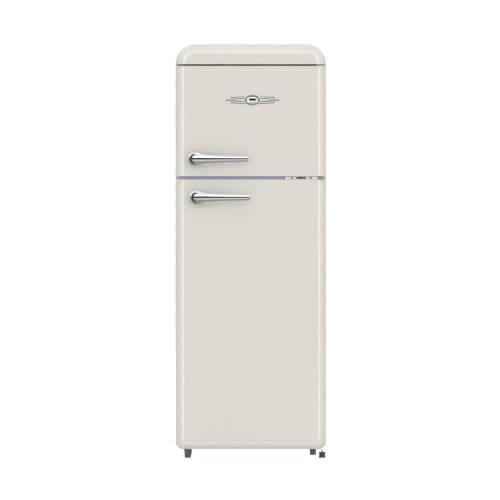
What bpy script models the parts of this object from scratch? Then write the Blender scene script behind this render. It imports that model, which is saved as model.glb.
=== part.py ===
"""Two-door retro refrigerator: freezer above, larder below, both doors hinged on the right.

Everything is in metres. The origin is on the floor under the middle of the whole object, +Z is up, and
the doors face -Y. Each named object is one physical piece; empties mark the axes that pieces move on.
"""

import math

import bmesh
import bpy
from mathutils import Vector

MM = 0.001
CLEAR = 0.3 * MM  # gap between pieces that touch
ARC_STEPS = 7  # straight pieces in each quarter round

# ---- Overall sizes ----
BODY_WIDTH = 540 * MM
TOTAL_HEIGHT = 1488 * MM
CABINET_DEPTH = 462 * MM
REAR_CLEARANCE = 18 * MM  # behind the back panel, held by the condenser brackets
DOOR_THICKNESS = 58 * MM
DOOR_GAP = 12 * MM  # between a door's rear and the cabinet, filled by the gasket
HANDLE_PROJECTION = 40 * MM

# ---- Heights ----
FOOT_HEIGHT = 33 * MM
COVER_HEIGHT = 73 * MM
COVER_GAP = 6 * MM  # between the top cover and the freezer door
FREEZER_DOOR_HEIGHT = 397 * MM
SPLIT_GAP = 10 * MM  # between the two doors

# ---- Sheet and wall thicknesses ----
SHEET = 1.0 * MM
LINER = 2.0 * MM
BIN_WALL = 2.5 * MM
SIDE_WALL = 48 * MM
TOP_WALL = 52 * MM
BACK_WALL = 55 * MM
FLOOR_WALL = 60 * MM
DIVIDER = 64 * MM
FLANGE = 22 * MM  # the cabinet shell's front edge, turned inwards
MULLION_HEIGHT = 28 * MM
MULLION_NOSE = 58 * MM  # how far the centre strip reaches forward between the doors
BASE_UPTURN = 38 * MM

# ---- Compressor niche ----
NICHE_PLAY = 43 * MM  # the niche is this much deeper than the compressor is wide
NICHE_ROOM = 15.7 * MM  # above the drip tray
NICHE_WALL = 45 * MM
NICHE_SLOPE = 50 * MM  # how far the liner's step leans back over its height

# ---- Lower corners ----
BASE_ROUND = 28 * MM  # the cabinet's sides roll under, as the fridge door's cap does

# ---- Top cover ----
COVER_CORNER_RADIUS = 72 * MM
COVER_FRONT_ROUND = 36 * MM
COVER_WALL = 3 * MM

# ---- Doors ----
DOOR_EDGE_RADIUS = 32 * MM
DOOR_CAP = 6 * MM
BOTTOM_CAP = 30 * MM
BOTTOM_CAP_ROUND = 28 * MM
BOTTOM_CAP_FLARE = 1.2 * MM
SKIN_RETURN = 16 * MM  # the skin's rear edge, turned inwards
FOAM_END_GAP = 22 * MM
PLUG_DEPTH = 35 * MM  # how far the inner panel's ridges enter the cabinet
PLUG_SIDE_CLEARANCE = 12 * MM
PLUG_END_CLEARANCE = 8 * MM
RIDGE = 22 * MM
GASKET_WIDTH = 18 * MM
GASKET_SIDE_INSET = 16 * MM
GASKET_END_INSET = 8 * MM

# ---- Hinges ----
HINGE_INSET = 18 * MM  # hinge axis to the body's right side
HINGE_DEPTH = 30 * MM  # hinge axis to the door's rear face
HINGE_PLATE = 3 * MM
HINGE_NOSE = 13 * MM
HINGE_ARM_WIDTH = 34 * MM
MIDDLE_HINGE_LENGTH = 143 * MM
MIDDLE_HINGE_BAR_END = 12 * MM  # from the middle hinge's bar to the hinge axis
PIN_RADIUS = 4 * MM
PIN_LENGTH = 14 * MM
PIN_PLAY = 0.4 * MM
BOSS_RADIUS = 9 * MM
BOSS_LENGTH = 12 * MM

# ---- Handles and badge ----
HANDLE_LENGTH = 218 * MM
HANDLE_HUB_RADIUS = 23 * MM
HANDLE_BACK_GAP = 24 * MM  # finger room behind the lever
HANDLE_TIP_HEIGHT = 15 * MM
HANDLE_TIP_DEPTH = 11 * MM
HANDLE_BASE = 3 * MM
HANDLE_INSET = 43 * MM  # hub's left end to the body's left side
FREEZER_HANDLE_HEIGHT = 62 * MM  # hub's centre above the freezer door's lower edge
FRIDGE_HANDLE_DROP = 66 * MM  # hub's centre below the fridge door's upper edge
HANDLE_STAGGER = 6 * MM  # the lower handle sits this much further right
BADGE_WIDTH = 190 * MM
BADGE_HEIGHT = 34 * MM
BADGE_BAR = 4.5 * MM
BADGE_THICKNESS = 3 * MM
BADGE_DROP = 123 * MM  # badge's centre below the freezer door's top
BADGE_OFFSET = 6 * MM

# ---- Feet ----
FOOT_INSET = 43 * MM
FOOT_RADIUS = 13.5 * MM
HINGE_FOOT_RADIUS = 12.2 * MM
HINGE_FOOT_INSET = 13 * MM
STUD_RADIUS = 4.5 * MM
STUD_PLAY = 0.5 * MM
FRONT_FOOT_SETBACK = 32 * MM
REAR_FOOT_SETBACK = 40 * MM

# ---- Inside ----
SHELF = 4 * MM
LEDGE = 8 * MM  # how far a shelf ledge stands in from the wall
LEDGE_HEIGHT = 6 * MM
SHELF_BIN_GAP = 25.4 * MM  # between the door bins and the shelves' front edges
SHELF_BACK_GAP = 12 * MM
SHELF_COUNT = 3
FREEZER_SHELF_HEIGHT = 150 * MM  # above the freezer floor
TOP_SHELF_ROOM = 280 * MM  # above the highest shelf, where the lamp housing hangs
CRISPER_SIDE_GAP = 10 * MM
CRISPER_BIN_GAP = 18.4 * MM
CRISPER_BACK_GAP = 8 * MM
CRISPER_TOP_GAP = 22 * MM
STEP_GAP = 37 * MM  # between the step over the niche and the glass above the crisper
BIN_DEPTH = 76 * MM
BIN_FLOOR_GAP = 3 * MM  # between a door's lower ridge and its lowest bin
FREEZER_BIN_HEIGHT = 62 * MM
BOTTLE_BIN_HEIGHT = 110 * MM
MIDDLE_BIN_HEIGHT = 80 * MM
TOP_BIN_HEIGHT = 70 * MM
LAMP_BOX = (190 * MM, 110 * MM, 36 * MM)
LAMP_BOX_SETBACK = 130 * MM
LAMP_BOX_WALL = 8 * MM
LAMP_COVER = 2 * MM
KNOB_RADIUS = 14 * MM
KNOB_DEPTH = 14 * MM
SWITCH_BOX = (30 * MM, 33 * MM, 22 * MM)
PLUNGER_RADIUS = 4 * MM
PLUNGER_TRAVEL = 6 * MM
PLUNGER_TAIL = 20 * MM
EVAPORATOR = 1.5 * MM

# ---- Refrigeration ----
COMPRESSOR_RADIUS = 66 * MM
COMPRESSOR_HEIGHT = 150 * MM
COMPRESSOR_OFFSET = 70 * MM
COMPRESSOR_FEET = (190 * MM, 76 * MM, 9 * MM)
RELAY_BOX = (28 * MM, 50 * MM, 55 * MM)
RELAY_HEIGHT = 45 * MM
DRIP_TRAY = (170 * MM, 110 * MM, 21.7 * MM)
RAIL = 2 * MM
RAIL_HEIGHT = 36 * MM
GLAND_RADIUS = 7 * MM
DRIER_OFFSET = 200 * MM
DRIER_HEIGHT = 30 * MM
DRIER_RADIUS = 10 * MM
DRIER_LENGTH = 100 * MM
DRIER_TAPER = 12 * MM
SUCTION_HEIGHT = 70 * MM
SUCTION_REACH = 45 * MM
OUTLET_HEIGHT = 60 * MM
INLET_DROP = 30 * MM  # below the niche's roof
SUCTION_RADIUS = 3.6 * MM
PIPE_RADIUS = 3 * MM
CONDENSER_PITCH = 76 * MM
CONDENSER_INSET = 62 * MM
CONDENSER_BEND = 22 * MM
CONDENSER_FOOT_GAP = 70 * MM  # above the niche
CONDENSER_TOP_GAP = 90 * MM
BRACKET_INSET = 60 * MM
BRACKET_OVERHANG = 40 * MM
BRACKET_WIDTH = 16 * MM

# ---- Places worked out from the sizes ----
HALF_WIDTH = BODY_WIDTH / 2
TOTAL_DEPTH = HANDLE_PROJECTION + DOOR_THICKNESS + DOOR_GAP + CABINET_DEPTH + REAR_CLEARANCE
DOOR_FRONT = -TOTAL_DEPTH / 2 + HANDLE_PROJECTION
DOOR_REAR = DOOR_FRONT + DOOR_THICKNESS
CABINET_FRONT = DOOR_REAR + DOOR_GAP
CABINET_BACK = CABINET_FRONT + CABINET_DEPTH
REAR = CABINET_BACK + REAR_CLEARANCE

COVER_BOTTOM = TOTAL_HEIGHT - COVER_HEIGHT
CABINET_TOP = COVER_BOTTOM - CLEAR
CABINET_BOTTOM = FOOT_HEIGHT
FREEZER_DOOR_TOP = COVER_BOTTOM - COVER_GAP
FREEZER_DOOR_BOTTOM = FREEZER_DOOR_TOP - FREEZER_DOOR_HEIGHT
FRIDGE_DOOR_TOP = FREEZER_DOOR_BOTTOM - SPLIT_GAP
FRIDGE_DOOR_BOTTOM = FOOT_HEIGHT
SPLIT = (FREEZER_DOOR_BOTTOM + FRIDGE_DOOR_TOP) / 2

INNER_HALF = HALF_WIDTH - SIDE_WALL
INNER_BACK = CABINET_BACK - BACK_WALL
FREEZER_FLOOR = SPLIT + DIVIDER / 2
FREEZER_CEILING = CABINET_TOP - TOP_WALL
FRIDGE_CEILING = SPLIT - DIVIDER / 2
FRIDGE_FLOOR = CABINET_BOTTOM + FLOOR_WALL
NICHE_DEPTH = 2 * COMPRESSOR_RADIUS + NICHE_PLAY
NICHE_FRONT = CABINET_BACK - NICHE_DEPTH
NICHE_TOP = CABINET_BOTTOM + RAIL + 2 * CLEAR + COMPRESSOR_HEIGHT + DRIP_TRAY[2] + NICHE_ROOM
STEP_TOP = NICHE_TOP + NICHE_WALL
STEP_FRONT = NICHE_FRONT - NICHE_WALL
CRISPER_GLASS = STEP_TOP + STEP_GAP
CRISPER_HEIGHT = CRISPER_GLASS - FRIDGE_FLOOR - CRISPER_TOP_GAP

HINGE_X = HALF_WIDTH - HINGE_INSET
HINGE_Y = DOOR_REAR - HINGE_DEPTH
PLUG_INNER = CABINET_FRONT + PLUG_DEPTH
PLUG_HALF = INNER_HALF - PLUG_SIDE_CLEARANCE
PANEL_FACE = DOOR_REAR + CLEAR + LINER  # the inner panel's face towards the food
BIN_HALF = PLUG_HALF - RIDGE - CLEAR
BIN_REAR = PANEL_FACE + CLEAR + BIN_DEPTH
SHELF_FRONT = BIN_REAR + SHELF_BIN_GAP


# ---- Materials ----
def material(name, colour, roughness, metallic=0.0, alpha=1.0):
    made = bpy.data.materials.new(name)
    made.use_nodes = True
    shader = made.node_tree.nodes["Principled BSDF"]
    shader.inputs["Base Color"].default_value = (*colour, 1.0)
    shader.inputs["Roughness"].default_value = roughness
    shader.inputs["Metallic"].default_value = metallic
    shader.inputs["Alpha"].default_value = alpha
    made.diffuse_color = (*colour, alpha)
    return made


def make_materials():
    return {
        "cream_paint": material("cream_paint", (0.72, 0.70, 0.64), 0.3),
        "cream_plastic": material("cream_plastic", (0.72, 0.70, 0.64), 0.35),
        "chrome": material("chrome", (0.8, 0.8, 0.81), 0.08, 1.0),
        "steel": material("steel", (0.5, 0.5, 0.5), 0.35, 1.0),
        "strip_paint": material("strip_paint", (0.25, 0.26, 0.35), 0.4),
        "white_liner": material("white_liner", (0.84, 0.85, 0.85), 0.35),
        "gasket_rubber": material("gasket_rubber", (0.55, 0.55, 0.52), 0.7),
        "foam": material("foam", (0.75, 0.66, 0.42), 0.9),
        "foot_plastic": material("foot_plastic", (0.14, 0.14, 0.11), 0.6),
        "dark_plastic": material("dark_plastic", (0.07, 0.07, 0.075), 0.5),
        "clear_plastic": material("clear_plastic", (0.8, 0.86, 0.88), 0.1, 0.0, 0.45),
        "shelf_glass": material("shelf_glass", (0.7, 0.82, 0.78), 0.05, 0.0, 0.4),
        "black_enamel": material("black_enamel", (0.02, 0.02, 0.02), 0.3),
        "copper": material("copper", (0.72, 0.35, 0.2), 0.3, 1.0),
        "aluminium": material("aluminium", (0.7, 0.7, 0.7), 0.35, 1.0),
        "lamp_glass": material("lamp_glass", (0.9, 0.88, 0.8), 0.2, 0.0, 0.6),
    }


# ---- Outlines ----
def arc(centre, radius, start, stop, steps=ARC_STEPS):
    """Points on a circular arc from one angle to another, in degrees, both ends included."""
    angles = [math.radians(start + (stop - start) * i / steps) for i in range(steps + 1)]
    return [(centre[0] + radius * math.cos(a), centre[1] + radius * math.sin(a)) for a in angles]


def offset_outline(points, distance):
    """A closed anticlockwise outline grown outwards by a distance, corner for corner."""
    grown = []
    for i, here in enumerate(points):
        before = Vector(points[i - 1])
        after = Vector(points[(i + 1) % len(points)])
        along_in = (Vector(here) - before).normalized()
        along_out = (after - Vector(here)).normalized()
        normal_in = Vector((along_in.y, -along_in.x))
        normal_out = Vector((along_out.y, -along_out.x))
        bisector = (normal_in + normal_out).normalized()
        grown.append(tuple(Vector(here) + bisector * distance / bisector.dot(normal_in)))
    return grown


def door_front_outline(inset):
    """The plan of a door's left side, front and right side, from rear left to rear right."""
    half = HALF_WIDTH - inset
    front = DOOR_FRONT + inset
    radius = DOOR_EDGE_RADIUS - inset
    left = arc((-half + radius, front + radius), radius, 180, 270)
    right = arc((half - radius, front + radius), radius, 270, 360)
    return left + right


def door_outline(inset=0.0, rear=DOOR_REAR):
    half = HALF_WIDTH - inset
    return door_front_outline(inset) + [(half, rear), (-half, rear)]


def arch_outline(inset, bottom):
    """The front view of the top cover: flat below, with a quarter round at each top corner."""
    half = HALF_WIDTH - inset
    top = TOTAL_HEIGHT - inset
    radius = COVER_CORNER_RADIUS - inset
    right = arc((half - radius, top - radius), radius, 0, 90)
    left = arc((-half + radius, top - radius), radius, 90, 180)
    return [(half, bottom)] + right + left + [(-half, bottom)]


def fridge_side_outline(front):
    """The side view of the fridge compartment, with the sloping step over the compressor niche."""
    return [
        (front, FRIDGE_FLOOR),
        (STEP_FRONT, FRIDGE_FLOOR),
        (STEP_FRONT + NICHE_SLOPE, STEP_TOP),
        (INNER_BACK, STEP_TOP),
        (INNER_BACK, FRIDGE_CEILING),
        (front, FRIDGE_CEILING),
    ]


def freezer_side_outline(front):
    return [
        (front, FREEZER_FLOOR),
        (INNER_BACK, FREEZER_FLOOR),
        (INNER_BACK, FREEZER_CEILING),
        (front, FREEZER_CEILING),
    ]


# ---- Solids ----
def loft(rings):
    """A closed bmesh through rings of the same number of points, with a flat cap at each end."""
    bm = bmesh.new()
    rows = [[bm.verts.new(point) for point in ring] for ring in rings]
    count = len(rings[0])
    for lower, upper in zip(rows, rows[1:]):
        for i in range(count):
            j = (i + 1) % count
            bm.faces.new((lower[i], lower[j], upper[j], upper[i]))
    bm.faces.new(rows[0])
    bm.faces.new(rows[-1])
    bmesh.ops.recalc_face_normals(bm, faces=bm.faces)
    return bm


def place(axis, flat, along):
    """A point whose coordinate on the named axis is along, and whose other two are flat's, in order."""
    a, b = flat
    return {"X": (along, a, b), "Y": (a, along, b), "Z": (a, b, along)}[axis]


def prism(outline, axis, low, high):
    return loft([[place(axis, point, level) for point in outline] for level in (low, high)])


def box(low, high):
    outline = [(low[0], low[1]), (high[0], low[1]), (high[0], high[1]), (low[0], high[1])]
    return prism(outline, "Z", low[2], high[2])


def standing_box(size, foot):
    """A box of the given size whose underside is centred on a point."""
    x, y, z = foot
    half_x, half_y = size[0] / 2, size[1] / 2
    return box((x - half_x, y - half_y, z), (x + half_x, y + half_y, z + size[2]))


def turned(profile, centre, axis="Z", sides=20):
    """A solid of revolution: profile holds (radius, height) from one end to the other, along the axis."""
    order = {"Z": (0, 1, 2), "Y": (0, 2, 1), "X": (1, 2, 0)}[axis]
    centre = Vector(centre)
    rings = []
    for radius, height in profile:
        ring = []
        for i in range(sides):
            angle = 2 * math.pi * (i + 0.5) / sides
            local = (radius * math.cos(angle), radius * math.sin(angle), height)
            point = [0.0, 0.0, 0.0]
            for value, slot in zip(local, order):
                point[slot] = value
            ring.append(tuple(centre + Vector(point)))
        rings.append(ring)
    return loft(rings)


def rounded_route(points, radius, steps=3):
    """A route through the points whose corners are bends of about the given radius."""
    points = [Vector(point) for point in points]
    route = [points[0]]
    for before, here, after in zip(points, points[1:], points[2:]):
        start = here + (before - here).normalized() * radius
        stop = here + (after - here).normalized() * radius
        for i in range(steps + 1):
            t = i / steps
            route.append(start * (1 - t) ** 2 + here * (2 * t * (1 - t)) + stop * t * t)
    return route + [points[-1]]


# ---- Objects ----
def pivot(name, location):
    """An empty on a joint's axis, which the pieces of that body hang from."""
    made = bpy.data.objects.new(name, None)
    made.location = location
    made.empty_display_size = 0.05
    bpy.context.collection.objects.link(made)
    return made


def add(name, bm, finish, body=None, smooth=False):
    """Turns a bmesh into a named object whose origin is at the middle of its box."""
    corners = [vert.co for vert in bm.verts]
    middle = Vector([(min(c[k] for c in corners) + max(c[k] for c in corners)) / 2 for k in range(3)])
    bmesh.ops.translate(bm, verts=bm.verts, vec=-middle)
    mesh = bpy.data.meshes.new(name)
    bm.to_mesh(mesh)
    bm.free()
    if smooth:
        mesh.shade_smooth()
        mesh.set_sharp_from_angle(angle=math.radians(35))
    if finish is not None:
        mesh.materials.append(finish)
    made = bpy.data.objects.new(name, mesh)
    bpy.context.collection.objects.link(made)
    made.parent = body
    made.location = middle - (body.location if body else Vector())
    return made


def combine(target, bm, operation):
    """Cuts a shape from the target or joins it on, with a hidden helper and a Boolean modifier."""
    helper = add(f"{target.name}_{operation.lower()}_{len(target.modifiers)}", bm, None)
    helper.hide_render = True
    helper.display_type = "WIRE"
    helper.parent = target.parent
    if target.parent:
        helper.location -= target.parent.location
    modifier = target.modifiers.new(operation.title(), "BOOLEAN")
    modifier.operation = operation
    modifier.object = helper
    return target


def cut(target, bm):
    return combine(target, bm, "DIFFERENCE")


def join(target, bm):
    return combine(target, bm, "UNION")


def pipe(name, route, radius, finish, sides_resolution=1):
    """A round pipe along a route of points."""
    curve = bpy.data.curves.new(name, "CURVE")
    curve.dimensions = "3D"
    curve.bevel_depth = radius
    curve.bevel_resolution = sides_resolution
    curve.use_fill_caps = True
    spline = curve.splines.new("POLY")
    spline.points.add(len(route) - 1)
    for point, target in zip(spline.points, route):
        point.co = (*target, 1.0)
    curve.materials.append(finish)
    made = bpy.data.objects.new(name, curve)
    bpy.context.collection.objects.link(made)
    return made


# ---- Cabinet ----
def body_section(gap):
    """The front view of the room inside the shell: straight sides, rolled lower corners and an open bottom."""
    half = HALF_WIDTH - SHEET - gap
    radius = BASE_ROUND - SHEET - gap
    centre = HALF_WIDTH - BASE_ROUND
    middle = CABINET_BOTTOM + BASE_ROUND
    past = 10 * MM
    top = CABINET_TOP - SHEET - gap
    right = [(centre - gap, CABINET_BOTTOM - past), (centre - gap, middle - radius)]
    right += arc((centre, middle), radius, 270, 360) + [(half, top)]
    return right + [(-x, z) for x, z in right[::-1]]


def cabinet_shell(finish):
    """The folded sheet over the sides and top, rolled under at the bottom and turned in at the front."""
    centre = HALF_WIDTH - BASE_ROUND
    middle = CABINET_BOTTOM + BASE_ROUND
    right = arc((centre, middle), BASE_ROUND, 270, 360) + [(HALF_WIDTH, CABINET_TOP)]
    outline = right + [(-x, z) for x, z in right[::-1]]
    shell = add("cabinet_shell", prism(outline, "Y", CABINET_FRONT, CABINET_BACK), finish["cream_paint"])
    past = 10 * MM
    cut(shell, prism(body_section(0.0), "Y", CABINET_FRONT + SHEET, CABINET_BACK + past))
    opening = HALF_WIDTH - FLANGE
    low = (-opening, CABINET_FRONT - past, CABINET_BOTTOM - 2 * past)
    cut(shell, box(low, (opening, CABINET_FRONT + past, CABINET_TOP - FLANGE)))


def trim_to_shell(part):
    """Keeps what fits inside the shell's rolled lower corners."""
    past = 10 * MM
    combine(part, prism(body_section(CLEAR), "Y", CABINET_FRONT - past, CABINET_BACK + past), "INTERSECT")


def back_panel(finish):
    half = HALF_WIDTH - SHEET - CLEAR
    low = (-half, CABINET_BACK - SHEET, NICHE_TOP + SHEET + CLEAR)
    add("back_panel", box(low, (half, CABINET_BACK, CABINET_TOP - SHEET - CLEAR)), finish["steel"])


def base_panel(finish):
    """The bent sheet under the cabinet, which steps up and over the compressor niche."""
    half = HALF_WIDTH - SHEET - CLEAR
    front = CABINET_FRONT + SHEET + CLEAR
    back = CABINET_BACK - CLEAR
    profile = [
        (front, CABINET_BOTTOM),
        (NICHE_FRONT, CABINET_BOTTOM),
        (NICHE_FRONT, NICHE_TOP),
        (back, NICHE_TOP),
        (back, NICHE_TOP + SHEET),
        (NICHE_FRONT - SHEET, NICHE_TOP + SHEET),
        (NICHE_FRONT - SHEET, CABINET_BOTTOM + SHEET),
        (front, CABINET_BOTTOM + SHEET),
    ]
    base = add("base_panel", prism(profile, "X", -half, half), finish["steel"])
    front_half = HALF_WIDTH - FLANGE - CLEAR
    low = (-front_half, CABINET_FRONT, CABINET_BOTTOM)
    join(base, box(low, (front_half, front + SHEET, CABINET_BOTTOM + BASE_UPTURN)))
    hole = STUD_RADIUS + STUD_PLAY
    foot = (FOOT_INSET - HALF_WIDTH, CABINET_FRONT + FRONT_FOOT_SETBACK, CABINET_BOTTOM)
    cut(base, turned([(hole, -5 * MM), (hole, 5 * MM)], foot))
    trim_to_shell(base)


def mullion_strip(finish):
    """The strip between the two compartments, with a nose that reaches forward between the doors."""
    half = HALF_WIDTH - FLANGE - CLEAR
    back = CABINET_FRONT + LINER
    nose = SPLIT_GAP / 2 - 1.5 * MM
    tall = MULLION_HEIGHT / 2
    hinge_left = HALF_WIDTH - HINGE_INSET + HINGE_NOSE - MIDDLE_HINGE_LENGTH
    strip = add(
        "mullion_strip",
        box((-half, CABINET_FRONT, SPLIT - tall), (half, back, SPLIT + tall)),
        finish["strip_paint"],
    )
    low = (-half, CABINET_FRONT - MULLION_NOSE, SPLIT - nose)
    join(strip, box(low, (hinge_left - CLEAR, back - CLEAR, SPLIT + nose)))


def liner(name, outline_of, lip_low, lip_high, shelves, finish):
    """A compartment's moulded lining: the hollow itself, a lip round its mouth and ledges for shelves."""
    past = 10 * MM
    outer = offset_outline(outline_of(CABINET_FRONT + LINER), LINER)
    made = add(name, prism(outer, "X", -INNER_HALF - LINER, INNER_HALF + LINER), finish)
    lip_half = HALF_WIDTH - FLANGE - CLEAR
    join(made, box((-lip_half, CABINET_FRONT, lip_low), (lip_half, CABINET_FRONT + LINER, lip_high)))
    cut(made, prism(outline_of(CABINET_FRONT - past), "X", -INNER_HALF, INNER_HALF))
    for height in shelves:
        for side in (-1, 1):
            wall = side * (INNER_HALF + LINER / 2)
            edge = side * (INNER_HALF - LEDGE)
            low = (min(wall, edge), SHELF_FRONT, height - LEDGE_HEIGHT)
            high = (max(wall, edge), INNER_BACK - SHELF_BACK_GAP, height)
            join(made, box(low, high))
    return made


def cabinet_foam(finish):
    """The foamed insulation between the shell and the linings."""
    half = HALF_WIDTH - SHEET - CLEAR
    front = CABINET_FRONT + LINER + CLEAR
    back = CABINET_BACK - SHEET - CLEAR
    profile = [
        (front, CABINET_BOTTOM + SHEET + CLEAR),
        (NICHE_FRONT - SHEET - CLEAR, CABINET_BOTTOM + SHEET + CLEAR),
        (NICHE_FRONT - SHEET - CLEAR, NICHE_TOP + SHEET + CLEAR),
        (back, NICHE_TOP + SHEET + CLEAR),
        (back, CABINET_TOP - SHEET - CLEAR),
        (front, CABINET_TOP - SHEET - CLEAR),
    ]
    foam = add("cabinet_foam", prism(profile, "X", -half, half), finish["foam"])
    room = LINER + CLEAR
    for outline_of in (freezer_side_outline, fridge_side_outline):
        pocket = offset_outline(outline_of(CABINET_FRONT - 10 * MM), room)
        cut(foam, prism(pocket, "X", -INNER_HALF - room, INNER_HALF + room))
    for _, low, high in evaporator_boxes():
        cut(foam, box([v - CLEAR for v in low], [v + CLEAR for v in high]))
    step = BASE_UPTURN + CLEAR
    clear_of_upturn = (-half - SHEET, front - SHEET, CABINET_BOTTOM)
    cut(foam, box(clear_of_upturn, (half + SHEET, front + SHEET, CABINET_BOTTOM + step)))
    trim_to_shell(foam)


def evaporator_boxes():
    """Each cold plate's name and corners: it lies on the outside of a lining's back."""
    front = INNER_BACK + LINER + CLEAR
    edge = 30 * MM
    half = INNER_HALF - edge
    spans = {
        "freezer_evaporator": (FREEZER_FLOOR + edge, FREEZER_CEILING - edge),
        "fridge_evaporator": ((STEP_TOP + FRIDGE_CEILING) / 2, FRIDGE_CEILING - edge),
    }
    return [
        (name, (-half, front, low), (half, front + EVAPORATOR, high))
        for name, (low, high) in spans.items()
    ]


def evaporators(finish):
    for name, low, high in evaporator_boxes():
        add(name, box(low, high), finish["aluminium"])


def top_cover(finish):
    """The rounded cover: an arch whose front edge is rolled over, hollow from below."""
    rings = []
    for i in range(ARC_STEPS + 1):
        angle = math.radians(90 * i / ARC_STEPS)
        inset = COVER_FRONT_ROUND * (1 - math.sin(angle))
        y = DOOR_FRONT + COVER_FRONT_ROUND * (1 - math.cos(angle))
        rings.append([(x, y, z) for x, z in arch_outline(inset, COVER_BOTTOM)])
    rings.append([(x, CABINET_BACK, z) for x, z in arch_outline(0.0, COVER_BOTTOM)])
    cover = add("top_cover", loft(rings), finish["cream_plastic"], smooth=True)
    hollow_front = DOOR_FRONT + COVER_FRONT_ROUND
    inner = arch_outline(COVER_WALL, COVER_BOTTOM + COVER_WALL)
    cut(cover, prism(inner, "Y", hollow_front, CABINET_BACK - COVER_WALL))
    rim = 10 * MM
    low = (rim - HALF_WIDTH, CABINET_FRONT + rim, COVER_BOTTOM - rim)
    cut(cover, box(low, (HALF_WIDTH - rim, CABINET_BACK - rim, COVER_BOTTOM + 2 * COVER_WALL)))


# ---- Hinges and feet ----
def pin(height_from, height_to):
    return turned([(PIN_RADIUS, height_from), (PIN_RADIUS, height_to)], (HINGE_X, HINGE_Y, 0), sides=12)


def hinge_arm(low, high, front=HINGE_Y - HINGE_NOSE):
    """The flat arm that carries a hinge pin, rounded off round the pin."""
    right = HINGE_X + HINGE_NOSE
    left = right - HINGE_ARM_WIDTH
    corner = HINGE_NOSE
    back = CABINET_FRONT - CLEAR
    outline = [(left, back)]
    outline += arc((left + corner, front + corner), corner, 180, 270, 4)
    outline += arc((right - corner, front + corner), corner, 270, 360, 4)
    outline += [(right, back)]
    return prism(outline, "Z", low, high)


def hinge_flange(left, low, high):
    """The upright leaf screwed to the cabinet's front face."""
    front = CABINET_FRONT - CLEAR - HINGE_PLATE
    return box((left, front, low), (HINGE_X + HINGE_NOSE, CABINET_FRONT - CLEAR, high))


def hinges(finish):
    chrome = finish["chrome"]
    arm_left = HINGE_X + HINGE_NOSE - HINGE_ARM_WIDTH
    play = (COVER_GAP - HINGE_PLATE) / 2
    low = FREEZER_DOOR_TOP + play
    top = add("top_hinge", hinge_arm(low, low + HINGE_PLATE), chrome)
    join(top, hinge_flange(arm_left, low - GASKET_END_INSET + play + 1 * MM, low + HINGE_PLATE - CLEAR))
    join(top, pin(FREEZER_DOOR_TOP - PIN_LENGTH, low + HINGE_PLATE / 2))

    low = SPLIT - HINGE_PLATE / 2
    middle = add("middle_hinge", hinge_arm(low, low + HINGE_PLATE), chrome)
    reach = SPLIT_GAP / 2 + GASKET_END_INSET / 2
    left = HINGE_X + HINGE_NOSE - MIDDLE_HINGE_LENGTH
    join(middle, hinge_flange(left, SPLIT - reach, SPLIT + reach))
    nose = SPLIT_GAP / 2 - 1.5 * MM
    bar_back = CABINET_FRONT - CLEAR - HINGE_PLATE / 2
    bar_end = HINGE_X - MIDDLE_HINGE_BAR_END
    join(middle, box((left, CABINET_FRONT - MULLION_NOSE, SPLIT - nose), (bar_end, bar_back, SPLIT + nose)))
    join(middle, pin(FRIDGE_DOOR_TOP - PIN_LENGTH, FREEZER_DOOR_BOTTOM + PIN_LENGTH))

    high = CABINET_BOTTOM - CLEAR
    low = high - HINGE_PLATE
    bottom = add("bottom_hinge", hinge_arm(low, high), chrome)
    tail = 60 * MM
    tail_low = (arm_left, CABINET_FRONT - HINGE_NOSE, low)
    join(bottom, box(tail_low, (HINGE_X + HINGE_NOSE - CLEAR, CABINET_FRONT + tail, high)))
    join(bottom, pin(low + HINGE_PLATE / 2, FRIDGE_DOOR_BOTTOM + PIN_LENGTH))
    hole = STUD_RADIUS + STUD_PLAY
    x, y = hinge_foot_place()
    cut(bottom, turned([(hole, low - HINGE_PLATE), (hole, high + HINGE_PLATE)], (x, y, 0), sides=12))


def hinge_foot_place():
    return HALF_WIDTH - HINGE_FOOT_INSET, CABINET_FRONT + FRONT_FOOT_SETBACK / 2


def pad_profile(radius, height):
    """A foot's pad, chamfered where it meets the floor and slightly drawn in at the top."""
    return [
        (radius - 3 * MM, 0.0),
        (radius - 0.6 * MM, 3 * MM),
        (radius, 8 * MM),
        (radius, height - 2 * MM),
        (radius - 1.5 * MM, height),
    ]


def feet(finish):
    plastic = finish["foot_plastic"]
    left = FOOT_INSET - HALF_WIDTH
    front = CABINET_FRONT + FRONT_FOOT_SETBACK
    body = pivot("left_foot_axis", (left, front, 0))
    pad = FOOT_HEIGHT - CLEAR
    profile = pad_profile(FOOT_RADIUS, pad) + [(STUD_RADIUS, pad), (STUD_RADIUS, FOOT_HEIGHT + SHEET)]
    add("front_left_foot", turned(profile, body.location, sides=20), plastic, body, smooth=True)

    x, y = hinge_foot_place()
    body = pivot("right_foot_axis", (x, y, 0))
    profile = pad_profile(HINGE_FOOT_RADIUS, 22 * MM)
    profile += [(STUD_RADIUS, 22 * MM + CLEAR), (STUD_RADIUS, FOOT_HEIGHT - 2 * CLEAR)]
    add("front_right_foot", turned(profile, body.location), finish["dark_plastic"], body, smooth=True)

    back = CABINET_BACK - REAR_FOOT_SETBACK
    for name, side in (("rear_left_foot", -1), ("rear_right_foot", 1)):
        centre = (side * (HALF_WIDTH - FOOT_INSET), back, 0)
        add(name, turned(pad_profile(FOOT_RADIUS, pad), centre), plastic, smooth=True)


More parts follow.
